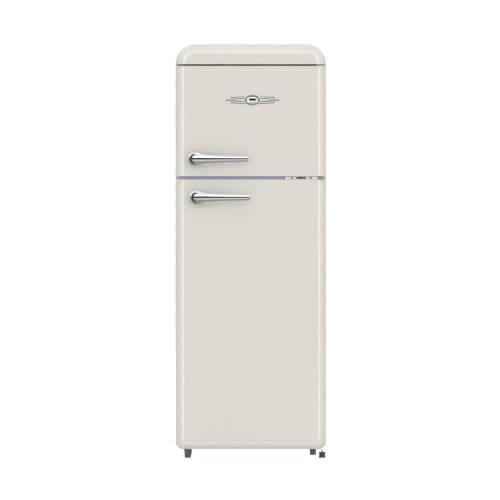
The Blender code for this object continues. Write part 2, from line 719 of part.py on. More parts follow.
# ---- Refrigeration ----
def compressor_set(finish):
    half = HALF_WIDTH - BASE_ROUND - CLEAR
    front = NICHE_FRONT + CLEAR
    back = CABINET_BACK - CLEAR
    low = (-half, front, CABINET_BOTTOM)
    rail = add("compressor_rail", box(low, (half, back, CABINET_BOTTOM + RAIL_HEIGHT)), finish["steel"])
    inside = (RAIL - half, front + RAIL, CABINET_BOTTOM + RAIL)
    cut(rail, box(inside, (half - RAIL, back - RAIL, CABINET_BOTTOM + 2 * RAIL_HEIGHT)))
    hole = GLAND_RADIUS + CLEAR
    cut(rail, turned([(hole, -3 * RAIL), (hole, 2 * RAIL)], gland_place(), "Y", 14))

    x, y, foot = compressor_place()
    radius = COMPRESSOR_RADIUS
    profile = [(radius * 0.55, 4 * MM), (radius * 0.9, 16 * MM), (radius, 30 * MM)]
    for i in range(5):
        angle = math.radians(90 * i / 4)
        height = COMPRESSOR_HEIGHT * (0.6 + 0.4 * math.sin(angle))
        profile.append((radius * (0.35 + 0.65 * math.cos(angle)), height))
    shape = add("compressor", turned(profile, (x, y, foot), sides=24), finish["black_enamel"], smooth=True)
    join(shape, standing_box(COMPRESSOR_FEET, (x, y, foot)))

    relay_x = x - radius - CLEAR - RELAY_BOX[0] / 2
    relay = standing_box(RELAY_BOX, (relay_x, y, foot + RELAY_HEIGHT))
    add("start_relay", relay, finish["dark_plastic"])

    tray_low = foot + COMPRESSOR_HEIGHT + CLEAR
    tray = add("drip_tray", standing_box(DRIP_TRAY, (x, y, tray_low)), finish["dark_plastic"])
    inside = (DRIP_TRAY[0] - 2 * BIN_WALL, DRIP_TRAY[1] - 2 * BIN_WALL, DRIP_TRAY[2])
    cut(tray, standing_box(inside, (x, y, tray_low + BIN_WALL)))

    tip = DRIER_RADIUS * 0.4
    body_end = DRIER_LENGTH - DRIER_TAPER
    profile = [(tip, 0), (DRIER_RADIUS, DRIER_TAPER), (DRIER_RADIUS, body_end), (tip, DRIER_LENGTH)]
    add("filter_drier", turned(profile, drier_place(), sides=14), finish["copper"], smooth=True)

    start = x + radius + CLEAR
    rise = start + SUCTION_REACH
    level = foot + SUCTION_HEIGHT
    route = [(start, y, level), (rise, y, level), (rise, y, NICHE_TOP - CLEAR)]
    pipe("suction_pipe", rounded_route(route, 15 * MM), SUCTION_RADIUS, finish["copper"])


def compressor_place():
    return COMPRESSOR_OFFSET, CABINET_BACK - NICHE_DEPTH / 2, CABINET_BOTTOM + RAIL + CLEAR


def drier_place():
    """The drier's lower end, beside the compressor."""
    x, y, foot = compressor_place()
    return x - DRIER_OFFSET, y, foot + DRIER_HEIGHT


def gland_place():
    """Where the mains lead leaves, on the outside of the compressor rail's back wall."""
    return -HALF_WIDTH / 2, CABINET_BACK, CABINET_BOTTOM + RAIL_HEIGHT / 2


def condenser(finish):
    """A serpentine of tube on the back, from the compressor to the drier, on two upright brackets."""
    x = HALF_WIDTH - CONDENSER_INSET
    bend = CONDENSER_BEND
    y = CABINET_BACK + REAR_CLEARANCE / 2 + PIPE_RADIUS
    low = NICHE_TOP + CONDENSER_FOOT_GAP
    high = CABINET_TOP - CONDENSER_TOP_GAP
    pairs = int(((high - low) / CONDENSER_PITCH - 1) / 2)
    comp_x, comp_y, foot = compressor_place()
    drier_x, drier_y, drier_z = drier_place()
    riser = -x - 2 * bend
    outlet = foot + OUTLET_HEIGHT
    corners = [(comp_x, comp_y + COMPRESSOR_RADIUS + CLEAR, outlet), (comp_x, y, outlet)]
    corners += [(riser, y, outlet), (riser, y, high), (x, y, high)]
    for pair in range(pairs):
        z = high - (2 * pair + 1) * CONDENSER_PITCH
        corners += [(x, y, z), (-x, y, z), (-x, y, z - CONDENSER_PITCH), (x, y, z - CONDENSER_PITCH)]
    z = high - (2 * pairs + 1) * CONDENSER_PITCH
    inlet = NICHE_TOP - INLET_DROP
    corners += [(x, y, z), (-x, y, z), (-x, y, inlet), (-x, drier_y, inlet), (drier_x, drier_y, inlet)]
    corners.append((drier_x, drier_y, drier_z + DRIER_LENGTH + CLEAR))
    route = rounded_route(corners, min(bend, (y - comp_y - COMPRESSOR_RADIUS) * 0.8))
    pipe("condenser_tube", route, PIPE_RADIUS, finish["black_enamel"])

    spacer = 15 * MM
    front = CABINET_BACK + CLEAR
    flat = y - PIPE_RADIUS - CLEAR
    bar_low = low - BRACKET_OVERHANG
    bar_high = high + BRACKET_OVERHANG
    for name, side in (("condenser_bracket_left", -1), ("condenser_bracket_right", 1)):
        middle = side * (x - BRACKET_INSET)
        left, right = middle - BRACKET_WIDTH / 2, middle + BRACKET_WIDTH / 2
        bracket = add(name, box((left, front, bar_low), (right, flat, bar_high)), finish["black_enamel"])
        for z in (bar_low, bar_high - spacer):
            join(bracket, box((left, flat - 1 * MM, z), (right, REAR, z + spacer)))


def cord_gland(finish):
    """The grommet in the compressor rail's back wall that the mains lead would leave by."""
    inner = RAIL + 4 * MM
    profile = [
        (GLAND_RADIUS * 0.85, -inner),
        (GLAND_RADIUS, 0.0),
        (GLAND_RADIUS + 3 * MM, 0.0),
        (GLAND_RADIUS + 3 * MM, 4 * MM),
        (GLAND_RADIUS, 12 * MM),
    ]
    add("cord_gland", turned(profile, gland_place(), "Y", 14), finish["dark_plastic"], smooth=True)


# ---- Inside fittings ----
def shelf_heights():
    """The fridge shelves' undersides, from the crisper's glass upwards."""
    spacing = (FRIDGE_CEILING - TOP_SHELF_ROOM - CRISPER_GLASS) / (SHELF_COUNT - 1)
    return [CRISPER_GLASS + spacing * i for i in range(SHELF_COUNT)]


def shelves(finish):
    half = INNER_HALF - CLEAR
    back = INNER_BACK - SHELF_BACK_GAP
    heights = dict(zip(("crisper_glass", "middle_shelf", "upper_shelf"), shelf_heights()))
    heights["freezer_shelf"] = FREEZER_FLOOR + FREEZER_SHELF_HEIGHT
    for name, height in heights.items():
        low = height + CLEAR
        add(name, box((-half, SHELF_FRONT, low), (half, back, low + SHELF)), finish["shelf_glass"])


def crisper(finish):
    body = pivot("crisper_slide", (0, BIN_REAR + CRISPER_BIN_GAP, FRIDGE_FLOOR))
    half = INNER_HALF - CRISPER_SIDE_GAP
    front = body.location.y
    low = FRIDGE_FLOOR + CLEAR
    high = low + CRISPER_HEIGHT
    lean = NICHE_SLOPE * (CRISPER_HEIGHT / (STEP_TOP - FRIDGE_FLOOR))
    back = STEP_FRONT - CRISPER_BACK_GAP
    profile = [(front, low), (back, low), (back + lean, high), (front, high)]
    drawer = add("crisper_drawer", prism(profile, "X", -half, half), finish["clear_plastic"], body)
    past = 20 * MM
    inner = offset_outline([(front, low), (back, low), (back + lean, high), (front, high)], -BIN_WALL)
    slope = lean / CRISPER_HEIGHT
    inner[2] = (inner[2][0] + slope * past, high + past)
    inner[3] = (inner[3][0], high + past)
    cut(drawer, prism(inner, "X", BIN_WALL - half, half - BIN_WALL))
    return body


def lamp_set(finish):
    """The ceiling housing with the thermostat knob on its front and the lamp behind a cover."""
    width, depth, height = LAMP_BOX
    top = FRIDGE_CEILING - CLEAR
    bottom = top - height
    front = CABINET_FRONT + LAMP_BOX_SETBACK
    housing = add(
        "thermostat_housing",
        box((-width / 2, front, bottom), (width / 2, front + depth, top)),
        finish["white_liner"],
    )
    wall = LAMP_BOX_WALL
    pocket_low = (wall - width / 2, front + wall, bottom - wall)
    pocket_high = (0.0, front + depth - wall, top - wall)
    cut(housing, box(pocket_low, pocket_high))
    cover_low = (pocket_low[0] + CLEAR, pocket_low[1] + CLEAR, bottom)
    cover_high = (pocket_high[0] - CLEAR, pocket_high[1] - CLEAR, bottom + LAMP_COVER)
    add("lamp_cover", box(cover_low, cover_high), finish["lamp_glass"])
    centre = (pocket_high[0] - CLEAR, front + depth / 2, (bottom + top) / 2 - 2 * MM)
    bulb = [(9 * MM, -0.0), (9 * MM, -18 * MM), (10 * MM, -26 * MM), (8 * MM, -44 * MM), (3 * MM, -48 * MM)]
    add("lamp_bulb", turned(bulb, centre, "X", 14), finish["lamp_glass"], smooth=True)

    knob_x = width / 4
    body = pivot("knob_axis", (knob_x, front, (bottom + top) / 2))
    profile = [
        (KNOB_RADIUS, -CLEAR),
        (KNOB_RADIUS, -CLEAR - KNOB_DEPTH * 0.35),
        (KNOB_RADIUS * 0.82, -CLEAR - KNOB_DEPTH * 0.5),
        (KNOB_RADIUS * 0.75, -CLEAR - KNOB_DEPTH),
    ]
    knob = add("thermostat_knob", turned(profile, body.location, "Y", 18), finish["dark_plastic"], body)
    rib = 1.6 * MM
    y = front - CLEAR - KNOB_DEPTH
    z = body.location.z
    low = (knob_x - rib, y - rib, z - KNOB_RADIUS * 0.2)
    join(knob, box(low, (knob_x + rib, y + rib, z + KNOB_RADIUS * 0.7)))


def door_switch(finish):
    """The lamp switch on the ceiling: its plunger rests on the closed door's upper ridge."""
    width, depth, height = SWITCH_BOX
    x = INNER_HALF * 0.65
    top = FRIDGE_CEILING - CLEAR
    z = top - height * 0.6
    front = PLUG_INNER + PLUNGER_TRAVEL
    low = (x - width / 2, front, top - height)
    housing = add("switch_housing", box(low, (x + width / 2, front + depth, top)), finish["white_liner"])
    bore = PLUNGER_RADIUS + PIN_PLAY
    deep = PLUNGER_TAIL + 2 * MM
    cut(housing, turned([(bore, -5 * MM), (bore, deep)], (x, front, z), "Y", 14))
    body = pivot("switch_axis", (x, PLUG_INNER, z))
    profile = [
        (PLUNGER_RADIUS - 1 * MM, CLEAR),
        (PLUNGER_RADIUS, 1.5 * MM),
        (PLUNGER_RADIUS, PLUNGER_TRAVEL + PLUNGER_TAIL),
    ]
    add("switch_plunger", turned(profile, body.location, "Y", 14), finish["white_liner"], body, smooth=True)


# ---- Doors ----
def bored_cap(name, bm, face, inward, finish, body):
    """A door's end cap with a boss inside it for the hinge pin. Inward is +1 or -1 along Z."""
    cap = add(name, bm, finish, body, smooth=True)
    centre = (HINGE_X, HINGE_Y, face)
    root, tip = sorted((inward * DOOR_CAP / 2, inward * (DOOR_CAP + BOSS_LENGTH)))
    join(cap, turned([(BOSS_RADIUS, root), (BOSS_RADIUS, tip)], centre, sides=16))
    bore = PIN_RADIUS + PIN_PLAY
    past = DOOR_CAP + BOSS_LENGTH + 5 * MM
    low, high = sorted((-5 * MM * inward, past * inward))
    cut(cap, turned([(bore, low), (bore, high)], centre, sides=16))
    return cap


def flat_cap(low, high):
    return prism(door_outline(), "Z", low, high)


def rolled_cap(low, high):
    """The lower cap: its foot is rolled under at the front and sides, and its rim stands a little proud."""
    rings = []
    for i in range(ARC_STEPS + 1):
        angle = math.radians(90 * i / ARC_STEPS)
        inset = BOTTOM_CAP_ROUND * (1 - math.sin(angle)) - BOTTOM_CAP_FLARE
        z = low + BOTTOM_CAP_ROUND * (1 - math.cos(angle))
        rings.append([(x, y, z) for x, y in door_outline(inset)])
    rings.append([(x, y, high) for x, y in door_outline(-BOTTOM_CAP_FLARE / 2)])
    return loft(rings)


def door_skin(name, low, high, finish, body):
    """The formed steel front: a shallow C in plan whose rear edges turn in."""
    inner_end = HALF_WIDTH - SKIN_RETURN
    half = HALF_WIDTH - SHEET
    outer = [(-inner_end, DOOR_REAR), (-HALF_WIDTH, DOOR_REAR)] + door_front_outline(0.0)
    outer += [(HALF_WIDTH, DOOR_REAR), (inner_end, DOOR_REAR)]
    rear = DOOR_REAR - SHEET
    inner = [(inner_end, rear), (half, rear)] + door_front_outline(SHEET)[::-1]
    inner += [(-half, rear), (-inner_end, rear)]
    add(name, prism(outer + inner, "Z", low, high), finish["cream_paint"], body, smooth=True)


def door_panel(name, low, high, opening, finish, body):
    """The moulded inner panel: a sheet with a hollow ridge that plugs the compartment's mouth."""
    edge = 6 * MM
    half = HALF_WIDTH - SKIN_RETURN + 4 * MM
    start = DOOR_REAR + CLEAR
    panel = add(name, box((-half, start, low + edge), (half, PANEL_FACE, high - edge)), finish, body)
    bottom = opening[0] + PLUG_END_CLEARANCE
    top = opening[1] - PLUG_END_CLEARANCE
    join(panel, box((-PLUG_HALF, start + LINER / 2, bottom), (PLUG_HALF, PLUG_INNER, top)))
    inner = PLUG_HALF - RIDGE
    past = 10 * MM
    well_low = (-inner, PANEL_FACE, bottom + RIDGE)
    cut(panel, box(well_low, (inner, PLUG_INNER + past, top - RIDGE)))
    hollow = ridge_hollow(bottom + LINER, top - LINER, start - past)
    cut(panel, hollow)


def ridge_hollow(bottom, top, start):
    """The space inside the ridge, open towards the door: a rectangular ring."""
    outer_half = PLUG_HALF - LINER
    inner_half = PLUG_HALF - RIDGE + LINER
    outer = [(-outer_half, bottom), (outer_half, bottom), (outer_half, top), (-outer_half, top)]
    across = RIDGE - 2 * LINER
    low, high = bottom + across, top - across
    inner = [(-inner_half, low), (inner_half, low), (inner_half, high), (-inner_half, high)]
    return frame(outer, inner, "Y", start, PLUG_INNER - LINER)


def frame(outer, inner, axis, low, high):
    """A ring with a hole right through: two outlines of four corners joined face by face."""
    bm = bmesh.new()
    grid = []
    for level in (low, high):
        for outline in (outer, inner):
            grid.append([bm.verts.new(place(axis, point, level)) for point in outline])
    outer_low, inner_low, outer_high, inner_high = grid
    pairs = ((outer_low, inner_low), (inner_high, outer_high), (outer_high, outer_low), (inner_low, inner_high))
    for a, b in pairs:
        for i in range(4):
            j = (i + 1) % 4
            bm.faces.new((a[i], a[j], b[j], b[i]))
    bmesh.ops.recalc_face_normals(bm, faces=bm.faces)
    return bm


def gasket(name, low, high, finish, body):
    half = HALF_WIDTH - GASKET_SIDE_INSET
    bottom, top = low + GASKET_END_INSET, high - GASKET_END_INSET
    outer = [(-half, bottom), (half, bottom), (half, top), (-half, top)]
    w = GASKET_WIDTH
    inner = [(w - half, bottom + w), (half - w, bottom + w), (half - w, top - w), (w - half, top - w)]
    ring = frame(outer, inner, "Y", PANEL_FACE + CLEAR, CABINET_FRONT - CLEAR)
    add(name, ring, finish["gasket_rubber"], body)


def door_bin(name, low, height, finish, body):
    """An open trough that hangs between the panel's side ridges."""
    front = PANEL_FACE + CLEAR
    high_corner = (BIN_HALF, front + BIN_DEPTH, low + height)
    trough = add(name, box((-BIN_HALF, front, low), high_corner), finish["clear_plastic"], body)
    inner_low = (BIN_WALL - BIN_HALF, front + BIN_WALL, low + BIN_WALL)
    inner_high = (BIN_HALF - BIN_WALL, front + BIN_DEPTH - BIN_WALL, low + height + 20 * MM)
    cut(trough, box(inner_low, inner_high))


def handle_height(along):
    """The handle's height at a distance from its left end: a round hub that runs out into a slim lever."""
    hub = 2 * HANDLE_HUB_RADIUS
    neck = 1.7 * hub
    waist = hub * 0.56
    if along <= hub / 2:
        return hub * math.sqrt(max(1 - (1 - 2 * along / hub) ** 2, 0.0))
    if along <= neck:
        t = (along - hub / 2) / (neck - hub / 2)
        return waist + (hub - waist) * (0.5 + 0.5 * math.cos(math.pi * t))
    t = (along - neck) / (HANDLE_LENGTH - neck)
    return waist + (HANDLE_TIP_HEIGHT - waist) * math.sin(t * math.pi / 2)


def lever_ring(along, left, centre_z):
    """One oval cross-section of the lever, whose front bulges and whose back is flatter."""
    height = handle_height(along)
    front = DOOR_FRONT - HANDLE_PROJECTION
    t = along / HANDLE_LENGTH
    thick = (HANDLE_PROJECTION - HANDLE_BACK_GAP) * (1 - t) + HANDLE_TIP_DEPTH * t
    depth = thick * min(1.0, height / HANDLE_TIP_HEIGHT)
    y = front + max(0.0, 1 - height / (2 * HANDLE_HUB_RADIUS)) * 2 * MM + depth / 2
    points = []
    for i in range(16):
        angle = 2 * math.pi * i / 16
        points.append((left + along, y - depth / 2 * math.sin(angle), centre_z + height / 2 * math.cos(angle)))
    return points


def handle(prefix, left, centre_z, finish, body):
    """A lever on a round post. It stands clear of the door so that fingers go behind it."""
    start = 1.0 * MM
    steps = [start, 4 * MM, 10 * MM, 17 * MM, 24 * MM, 34 * MM, 46 * MM, 60 * MM, 80 * MM, 120 * MM, 165 * MM]
    steps += [HANDLE_LENGTH - 3 * MM]
    rings = [lever_ring(along, left, centre_z) for along in steps]
    tip = lever_ring(HANDLE_LENGTH, left, centre_z)
    middle = sum((Vector(point) for point in tip), Vector()) / len(tip)
    rings.append([tuple(middle + (Vector(point) - middle) * 0.75) for point in tip])
    lever = add(f"{prefix}_handle_lever", loft(rings), finish["chrome"], body, smooth=True)
    hub_x = left + HANDLE_HUB_RADIUS
    centre = (hub_x, DOOR_FRONT, centre_z)
    post = HANDLE_HUB_RADIUS * 0.72
    top = HANDLE_PROJECTION - (HANDLE_PROJECTION - HANDLE_BACK_GAP) / 2
    profile = [(post, -top), (post * 0.92, -HANDLE_BACK_GAP / 2), (post, -HANDLE_BASE - 2 * CLEAR)]
    join(lever, turned(profile, centre, "Y", 18))
    profile = [(post, -HANDLE_BASE - CLEAR), (HANDLE_HUB_RADIUS * 0.85, -CLEAR)]
    add(f"{prefix}_handle_base", turned(profile, centre, "Y", 18), finish["chrome"], body, smooth=True)


def badge(finish, body):
    """A plain ornament: an oval boss between two tapering bars."""
    z = FREEZER_DOOR_TOP - BADGE_DROP
    oval = (BADGE_HEIGHT * 0.8, BADGE_HEIGHT / 2)
    half = BADGE_WIDTH / 2
    joint_angle = 12
    outline = []
    for start, side in ((joint_angle, 1), (180 + joint_angle, -1)):
        for i in range(9):
            angle = math.radians(start + (180 - 2 * joint_angle) * i / 8)
            outline.append((oval[0] * math.cos(angle), oval[1] * math.sin(angle)))
        reach = -side * half
        outline += [(reach, side * BADGE_BAR * 0.3), (reach, -side * BADGE_BAR * 0.3)]
    outline = [(x + BADGE_OFFSET, height + z) for x, height in outline]
    front = DOOR_FRONT - CLEAR - BADGE_THICKNESS
    add("badge", prism(outline, "Y", front, DOOR_FRONT - CLEAR), finish["chrome"], body)


def freezer_door(finish):
    body = pivot("freezer_door_axis", (HINGE_X, HINGE_Y, FREEZER_DOOR_BOTTOM))
    low, high = FREEZER_DOOR_BOTTOM, FREEZER_DOOR_TOP
    cream = finish["cream_plastic"]
    bored_cap("freezer_door_cap_top", flat_cap(high - DOOR_CAP, high), high, -1, cream, body)
    bored_cap("freezer_door_cap_bottom", flat_cap(low, low + DOOR_CAP), low, 1, cream, body)
    door_skin("freezer_door_skin", low + DOOR_CAP + CLEAR, high - DOOR_CAP - CLEAR, finish, body)
    inside = door_outline(SHEET + CLEAR, DOOR_REAR - SHEET - CLEAR)
    foam = prism(inside, "Z", low + FOAM_END_GAP, high - FOAM_END_GAP)
    add("freezer_door_foam", foam, finish["foam"], body)
    opening = (FREEZER_FLOOR, FREEZER_CEILING)
    door_panel("freezer_door_panel", low, high, opening, finish["white_liner"], body)
    gasket("freezer_door_gasket", low, high, finish, body)
    well = FREEZER_FLOOR + PLUG_END_CLEARANCE + RIDGE
    space = FREEZER_CEILING - PLUG_END_CLEARANCE - RIDGE - well
    door_bin("freezer_bin_lower", well + BIN_FLOOR_GAP, FREEZER_BIN_HEIGHT, finish, body)
    door_bin("freezer_bin_upper", well + space * 0.55, FREEZER_BIN_HEIGHT, finish, body)
    handle_z = low + FREEZER_HANDLE_HEIGHT
    handle("freezer", HANDLE_INSET - HALF_WIDTH, handle_z, finish, body)
    badge(finish, body)


def fridge_door(finish):
    body = pivot("fridge_door_axis", (HINGE_X, HINGE_Y, FRIDGE_DOOR_BOTTOM))
    low, high = FRIDGE_DOOR_BOTTOM, FRIDGE_DOOR_TOP
    cream = finish["cream_plastic"]
    bored_cap("fridge_door_cap_top", flat_cap(high - DOOR_CAP, high), high, -1, cream, body)
    foot = rolled_cap(low, low + BOTTOM_CAP)
    bored_cap("fridge_door_cap_bottom", foot, low, 1, cream, body)
    door_skin("fridge_door_skin", low + BOTTOM_CAP + CLEAR, high - DOOR_CAP - CLEAR, finish, body)
    inside = door_outline(SHEET + CLEAR, DOOR_REAR - SHEET - CLEAR)
    foam = prism(inside, "Z", low + BOTTOM_CAP + CLEAR, high - FOAM_END_GAP)
    add("fridge_door_foam", foam, finish["foam"], body)
    opening = (FRIDGE_FLOOR, FRIDGE_CEILING)
    door_panel("fridge_door_panel", low, high, opening, finish["white_liner"], body)
    gasket("fridge_door_gasket", low, high, finish, body)
    well = FRIDGE_FLOOR + PLUG_END_CLEARANCE + RIDGE
    space = FRIDGE_CEILING - PLUG_END_CLEARANCE - RIDGE - well
    door_bin("bottle_bin", well + BIN_FLOOR_GAP, BOTTLE_BIN_HEIGHT, finish, body)
    door_bin("middle_bin", well + space * 0.42, MIDDLE_BIN_HEIGHT, finish, body)
    door_bin("top_bin", well + space * 0.74, TOP_BIN_HEIGHT, finish, body)
    handle_z = high - FRIDGE_HANDLE_DROP
    left = HANDLE_INSET + HANDLE_STAGGER - HALF_WIDTH
    handle("fridge", left, handle_z, finish, body)


def build():
    for old in list(bpy.data.objects):
        bpy.data.objects.remove(old)
    finish = make_materials()
    cabinet_shell(finish)
    back_panel(finish)
    base_panel(finish)
    mullion_strip(finish)
    mullion_half = MULLION_HEIGHT / 2 + CLEAR
    lip_top = CABINET_TOP - FLANGE - CLEAR
    freezer_ledge = [FREEZER_FLOOR + FREEZER_SHELF_HEIGHT]
    white = finish["white_liner"]
    liner("freezer_liner", freezer_side_outline, SPLIT + mullion_half, lip_top, freezer_ledge, white)
    lip_bottom = CABINET_BOTTOM + BASE_UPTURN + CLEAR
    liner("fridge_liner", fridge_side_outline, lip_bottom, SPLIT - mullion_half, shelf_heights(), white)
    cabinet_foam(finish)
    evaporators(finish)
    top_cover(finish)
    hinges(finish)
    feet(finish)
    compressor_set(finish)
    condenser(finish)
    cord_gland(finish)
    shelves(finish)
    crisper(finish)
    lamp_set(finish)
    door_switch(finish)
    freezer_door(finish)
    fridge_door(finish)


build()
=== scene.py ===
import math

import bmesh
import bpy
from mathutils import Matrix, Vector

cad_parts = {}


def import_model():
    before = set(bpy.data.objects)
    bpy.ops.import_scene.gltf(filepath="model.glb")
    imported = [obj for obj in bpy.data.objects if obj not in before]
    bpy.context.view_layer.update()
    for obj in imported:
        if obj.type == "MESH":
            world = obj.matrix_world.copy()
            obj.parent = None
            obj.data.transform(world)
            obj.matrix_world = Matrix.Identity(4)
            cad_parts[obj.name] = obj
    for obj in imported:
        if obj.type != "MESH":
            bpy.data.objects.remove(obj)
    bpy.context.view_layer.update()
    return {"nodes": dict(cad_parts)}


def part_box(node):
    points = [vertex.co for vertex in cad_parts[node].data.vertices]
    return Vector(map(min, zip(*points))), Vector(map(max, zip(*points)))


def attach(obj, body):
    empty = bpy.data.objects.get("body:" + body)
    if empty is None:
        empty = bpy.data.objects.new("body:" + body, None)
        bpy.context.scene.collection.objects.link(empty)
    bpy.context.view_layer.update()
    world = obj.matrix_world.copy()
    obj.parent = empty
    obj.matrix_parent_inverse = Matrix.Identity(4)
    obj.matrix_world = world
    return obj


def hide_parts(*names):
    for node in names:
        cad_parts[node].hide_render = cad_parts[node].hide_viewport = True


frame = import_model()

MM = 0.001
CABINET = "cabinet"
FREEZER = "freezer_door"
FRIDGE = "fridge_door"

# ---- Sizes that the frame's boxes don't give ----
DOOR_EDGE_RADIUS = 32 * MM
CAP_EDGE_RADIUS = 3.2 * MM
HOLD = 1 * MM  # how far inside a flat face's edge a ring of points keeps its shading flat
CAP_LIP = 0.7 * MM  # how far an end cap stands proud of the skin
CAP_JOINT = 0.3 * MM
SKIN_SHEET = 1.0 * MM
SKIN_RETURN = 16 * MM
COVER_CORNER_RADIUS = 72 * MM
COVER_ROLL = 36 * MM
COVER_BACK_RADIUS = 8 * MM
FOOT_ROLL = 28 * MM
SHELL_EDGE = 2.5 * MM
SHELL_FLANGE = 22 * MM
BASE_ROUND = 28 * MM


# ======== Materials ========
class Nodes:
    """A node material being built: a Principled shader with helpers for the textures that feed it."""

    def __init__(self, name):
        self.material = bpy.data.materials.new(name)
        self.material.use_nodes = True
        self.tree = self.material.node_tree
        self.shader = self.tree.nodes["Principled BSDF"]
        self.coords = self.add("ShaderNodeTexCoord").outputs["Object"]

    def add(self, kind, **settings):
        node = self.tree.nodes.new(kind)
        for key, value in settings.items():
            setattr(node, key, value)
        return node

    def link(self, source, target):
        self.tree.links.new(source, target)

    def set(self, **values):
        for key, value in values.items():
            self.shader.inputs[key.replace("_", " ")].default_value = value
        return self

    def noise(self, scale, detail=2.0, stretch=(1, 1, 1), roughness=0.5):
        mapping = self.add("ShaderNodeMapping")
        mapping.inputs["Scale"].default_value = stretch
        self.link(self.coords, mapping.inputs["Vector"])
        texture = self.add("ShaderNodeTexNoise")
        texture.inputs["Scale"].default_value = scale
        texture.inputs["Detail"].default_value = detail
        texture.inputs["Roughness"].default_value = roughness
        self.link(mapping.outputs["Vector"], texture.inputs["Vector"])
        return texture.outputs["Fac"]

    def span(self, factor, low, high):
        """Maps a 0 to 1 factor to a range of numbers."""
        node = self.add("ShaderNodeMapRange")
        node.inputs["From Min"].default_value = 0.3
        node.inputs["From Max"].default_value = 0.7
        node.inputs["To Min"].default_value = low
        node.inputs["To Max"].default_value = high
        self.link(factor, node.inputs["Value"])
        return node.outputs["Result"]

    def blend(self, factor, first, second):
        """Maps a factor to a mix of two colours."""
        node = self.add("ShaderNodeMix", data_type="RGBA")
        node.inputs["A"].default_value = (*first, 1.0)
        node.inputs["B"].default_value = (*second, 1.0)
        self.link(self.span(factor, 0.0, 1.0), node.inputs["Factor"])
        return node.outputs["Result"]

    def colour(self, output):
        self.link(output, self.shader.inputs["Base Color"])
        return self

    def rough(self, output):
        self.link(output, self.shader.inputs["Roughness"])
        return self

    def bump(self, height, strength, distance):
        node = self.add("ShaderNodeBump")
        node.inputs["Strength"].default_value = strength
        node.inputs["Distance"].default_value = distance
        self.link(height, node.inputs["Height"])
        self.link(node.outputs["Normal"], self.shader.inputs["Normal"])
        return self


def shade(colour, factor):
    return tuple(channel * factor for channel in colour)


def mottled(name, colour, spread, roughness, scale, bump_scale, bump, distance, **shader):
    """A surface whose colour and roughness drift a little, with a fine bump."""
    made = Nodes(name)
    made.set(**shader)
    drift = made.noise(scale, 3.0)
    made.colour(made.blend(drift, shade(colour, 1 - spread), shade(colour, 1 + spread)))
    made.rough(made.span(made.noise(scale * 2.3, 2.0), *roughness))
    made.bump(made.noise(bump_scale, 2.0), bump, distance)
    return made.material


def enamel(name, colour):
    made = Nodes(name)
    made.set(Coat_Weight=1.0, Coat_Roughness=0.06, Coat_IOR=1.75, Specular_IOR_Level=0.4)
    drift = made.noise(5.0, 4.0, (1, 1, 0.6))
    made.colour(made.blend(drift, shade(colour, 0.985), shade(colour, 1.012)))
    made.rough(made.span(made.noise(9.0, 3.0), 0.3, 0.4))
    made.bump(made.noise(420.0, 1.0), 0.05, 0.1 * MM)
    return made.material


def polished(name, colour, roughness, streak=(1, 1, 1), strength=0.03):
    made = Nodes(name)
    made.set(Metallic=1.0)
    haze = made.noise(60.0, 3.0, streak)
    made.colour(made.blend(haze, shade(colour, 0.97), colour))
    made.rough(made.span(made.noise(140.0, 4.0, streak), *roughness))
    made.bump(made.noise(500.0, 2.0, streak), strength, 0.02 * MM)
    return made.material


def clear(name, colour, roughness, transmission=1.0):
    made = Nodes(name)
    made.set(Transmission_Weight=transmission, IOR=1.46)
    made.colour(made.blend(made.noise(6.0, 2.0), shade(colour, 0.985), colour))
    made.rough(made.span(made.noise(30.0, 3.0), *roughness))
    made.bump(made.noise(18.0, 2.0), 0.03, 0.3 * MM)
    return made.material


CREAM = (0.653, 0.634, 0.586)
M = {
    "paint": enamel("cream_enamel", CREAM),
    "moulding": enamel("cream_moulding", shade(CREAM, 1.0)),
    "chrome": polished("chrome_plate", (0.83, 0.84, 0.85), (0.02, 0.05), strength=0.012),
    "satin": polished("satin_chrome", (0.95, 0.95, 0.955), (0.42, 0.55), strength=0.02),
    "zinc": polished("zinc_sheet", (0.62, 0.62, 0.61), (0.28, 0.42), (1, 1, 8), 0.12),
    "strip": mottled("blue_grey_strip", (0.42, 0.435, 0.64), 0.05, (0.32, 0.42), 25, 600, 0.1, 0.1 * MM),
    "liner": mottled(
        "white_abs", (0.82, 0.83, 0.83), 0.012, (0.28, 0.4), 12, 900, 0.06, 0.1 * MM, Coat_Weight=0.2
    ),
    "rubber": mottled("seal_rubber", (0.56, 0.56, 0.53), 0.04, (0.6, 0.75), 40, 700, 0.2, 0.1 * MM),
    "foot": mottled("foot_plastic", (0.135, 0.135, 0.108), 0.12, (0.5, 0.65), 90, 900, 0.35, 0.2 * MM),
    "copper": polished("copper_tube", (0.72, 0.38, 0.22), (0.22, 0.4), (1, 1, 3), 0.1),
    "aluminium": polished("rolled_aluminium", (0.78, 0.79, 0.8), (0.3, 0.42), (8, 1, 1), 0.1),
    "foam": mottled("insulation_foam", (0.78, 0.66, 0.4), 0.08, (0.85, 0.95), 40, 260, 0.7, 0.6 * MM),
    "glass": clear("shelf_glass", (0.93, 0.975, 0.955), (0.0, 0.03)),
    "clear": clear("clear_tub", (0.95, 0.975, 0.98), (0.1, 0.2), 0.5),
    "frost": clear("frosted_diffuser", (0.95, 0.95, 0.93), (0.38, 0.5), 0.6),
    # Dark plastic, and also the screws' crosses, where it is painted shade
    "dark": mottled("dark_plastic", (0.075, 0.075, 0.08), 0.1, (0.42, 0.55), 60, 900, 0.25, 0.1 * MM),
    # Black: the nylon bushes' own colour, and also painted shade and painted dark reflection on the lever's
    # crescent, round the badge and in the middle hinge's slots
    "recess": mottled("black_recess", (0.012, 0.012, 0.013), 0.1, (0.6, 0.75), 60, 900, 0.2, 0.1 * MM),
    "enamel": mottled(
        "black_enamel", (0.02, 0.02, 0.022), 0.15, (0.3, 0.45), 50, 500, 0.25, 0.2 * MM, Coat_Weight=0.4
    ),
}


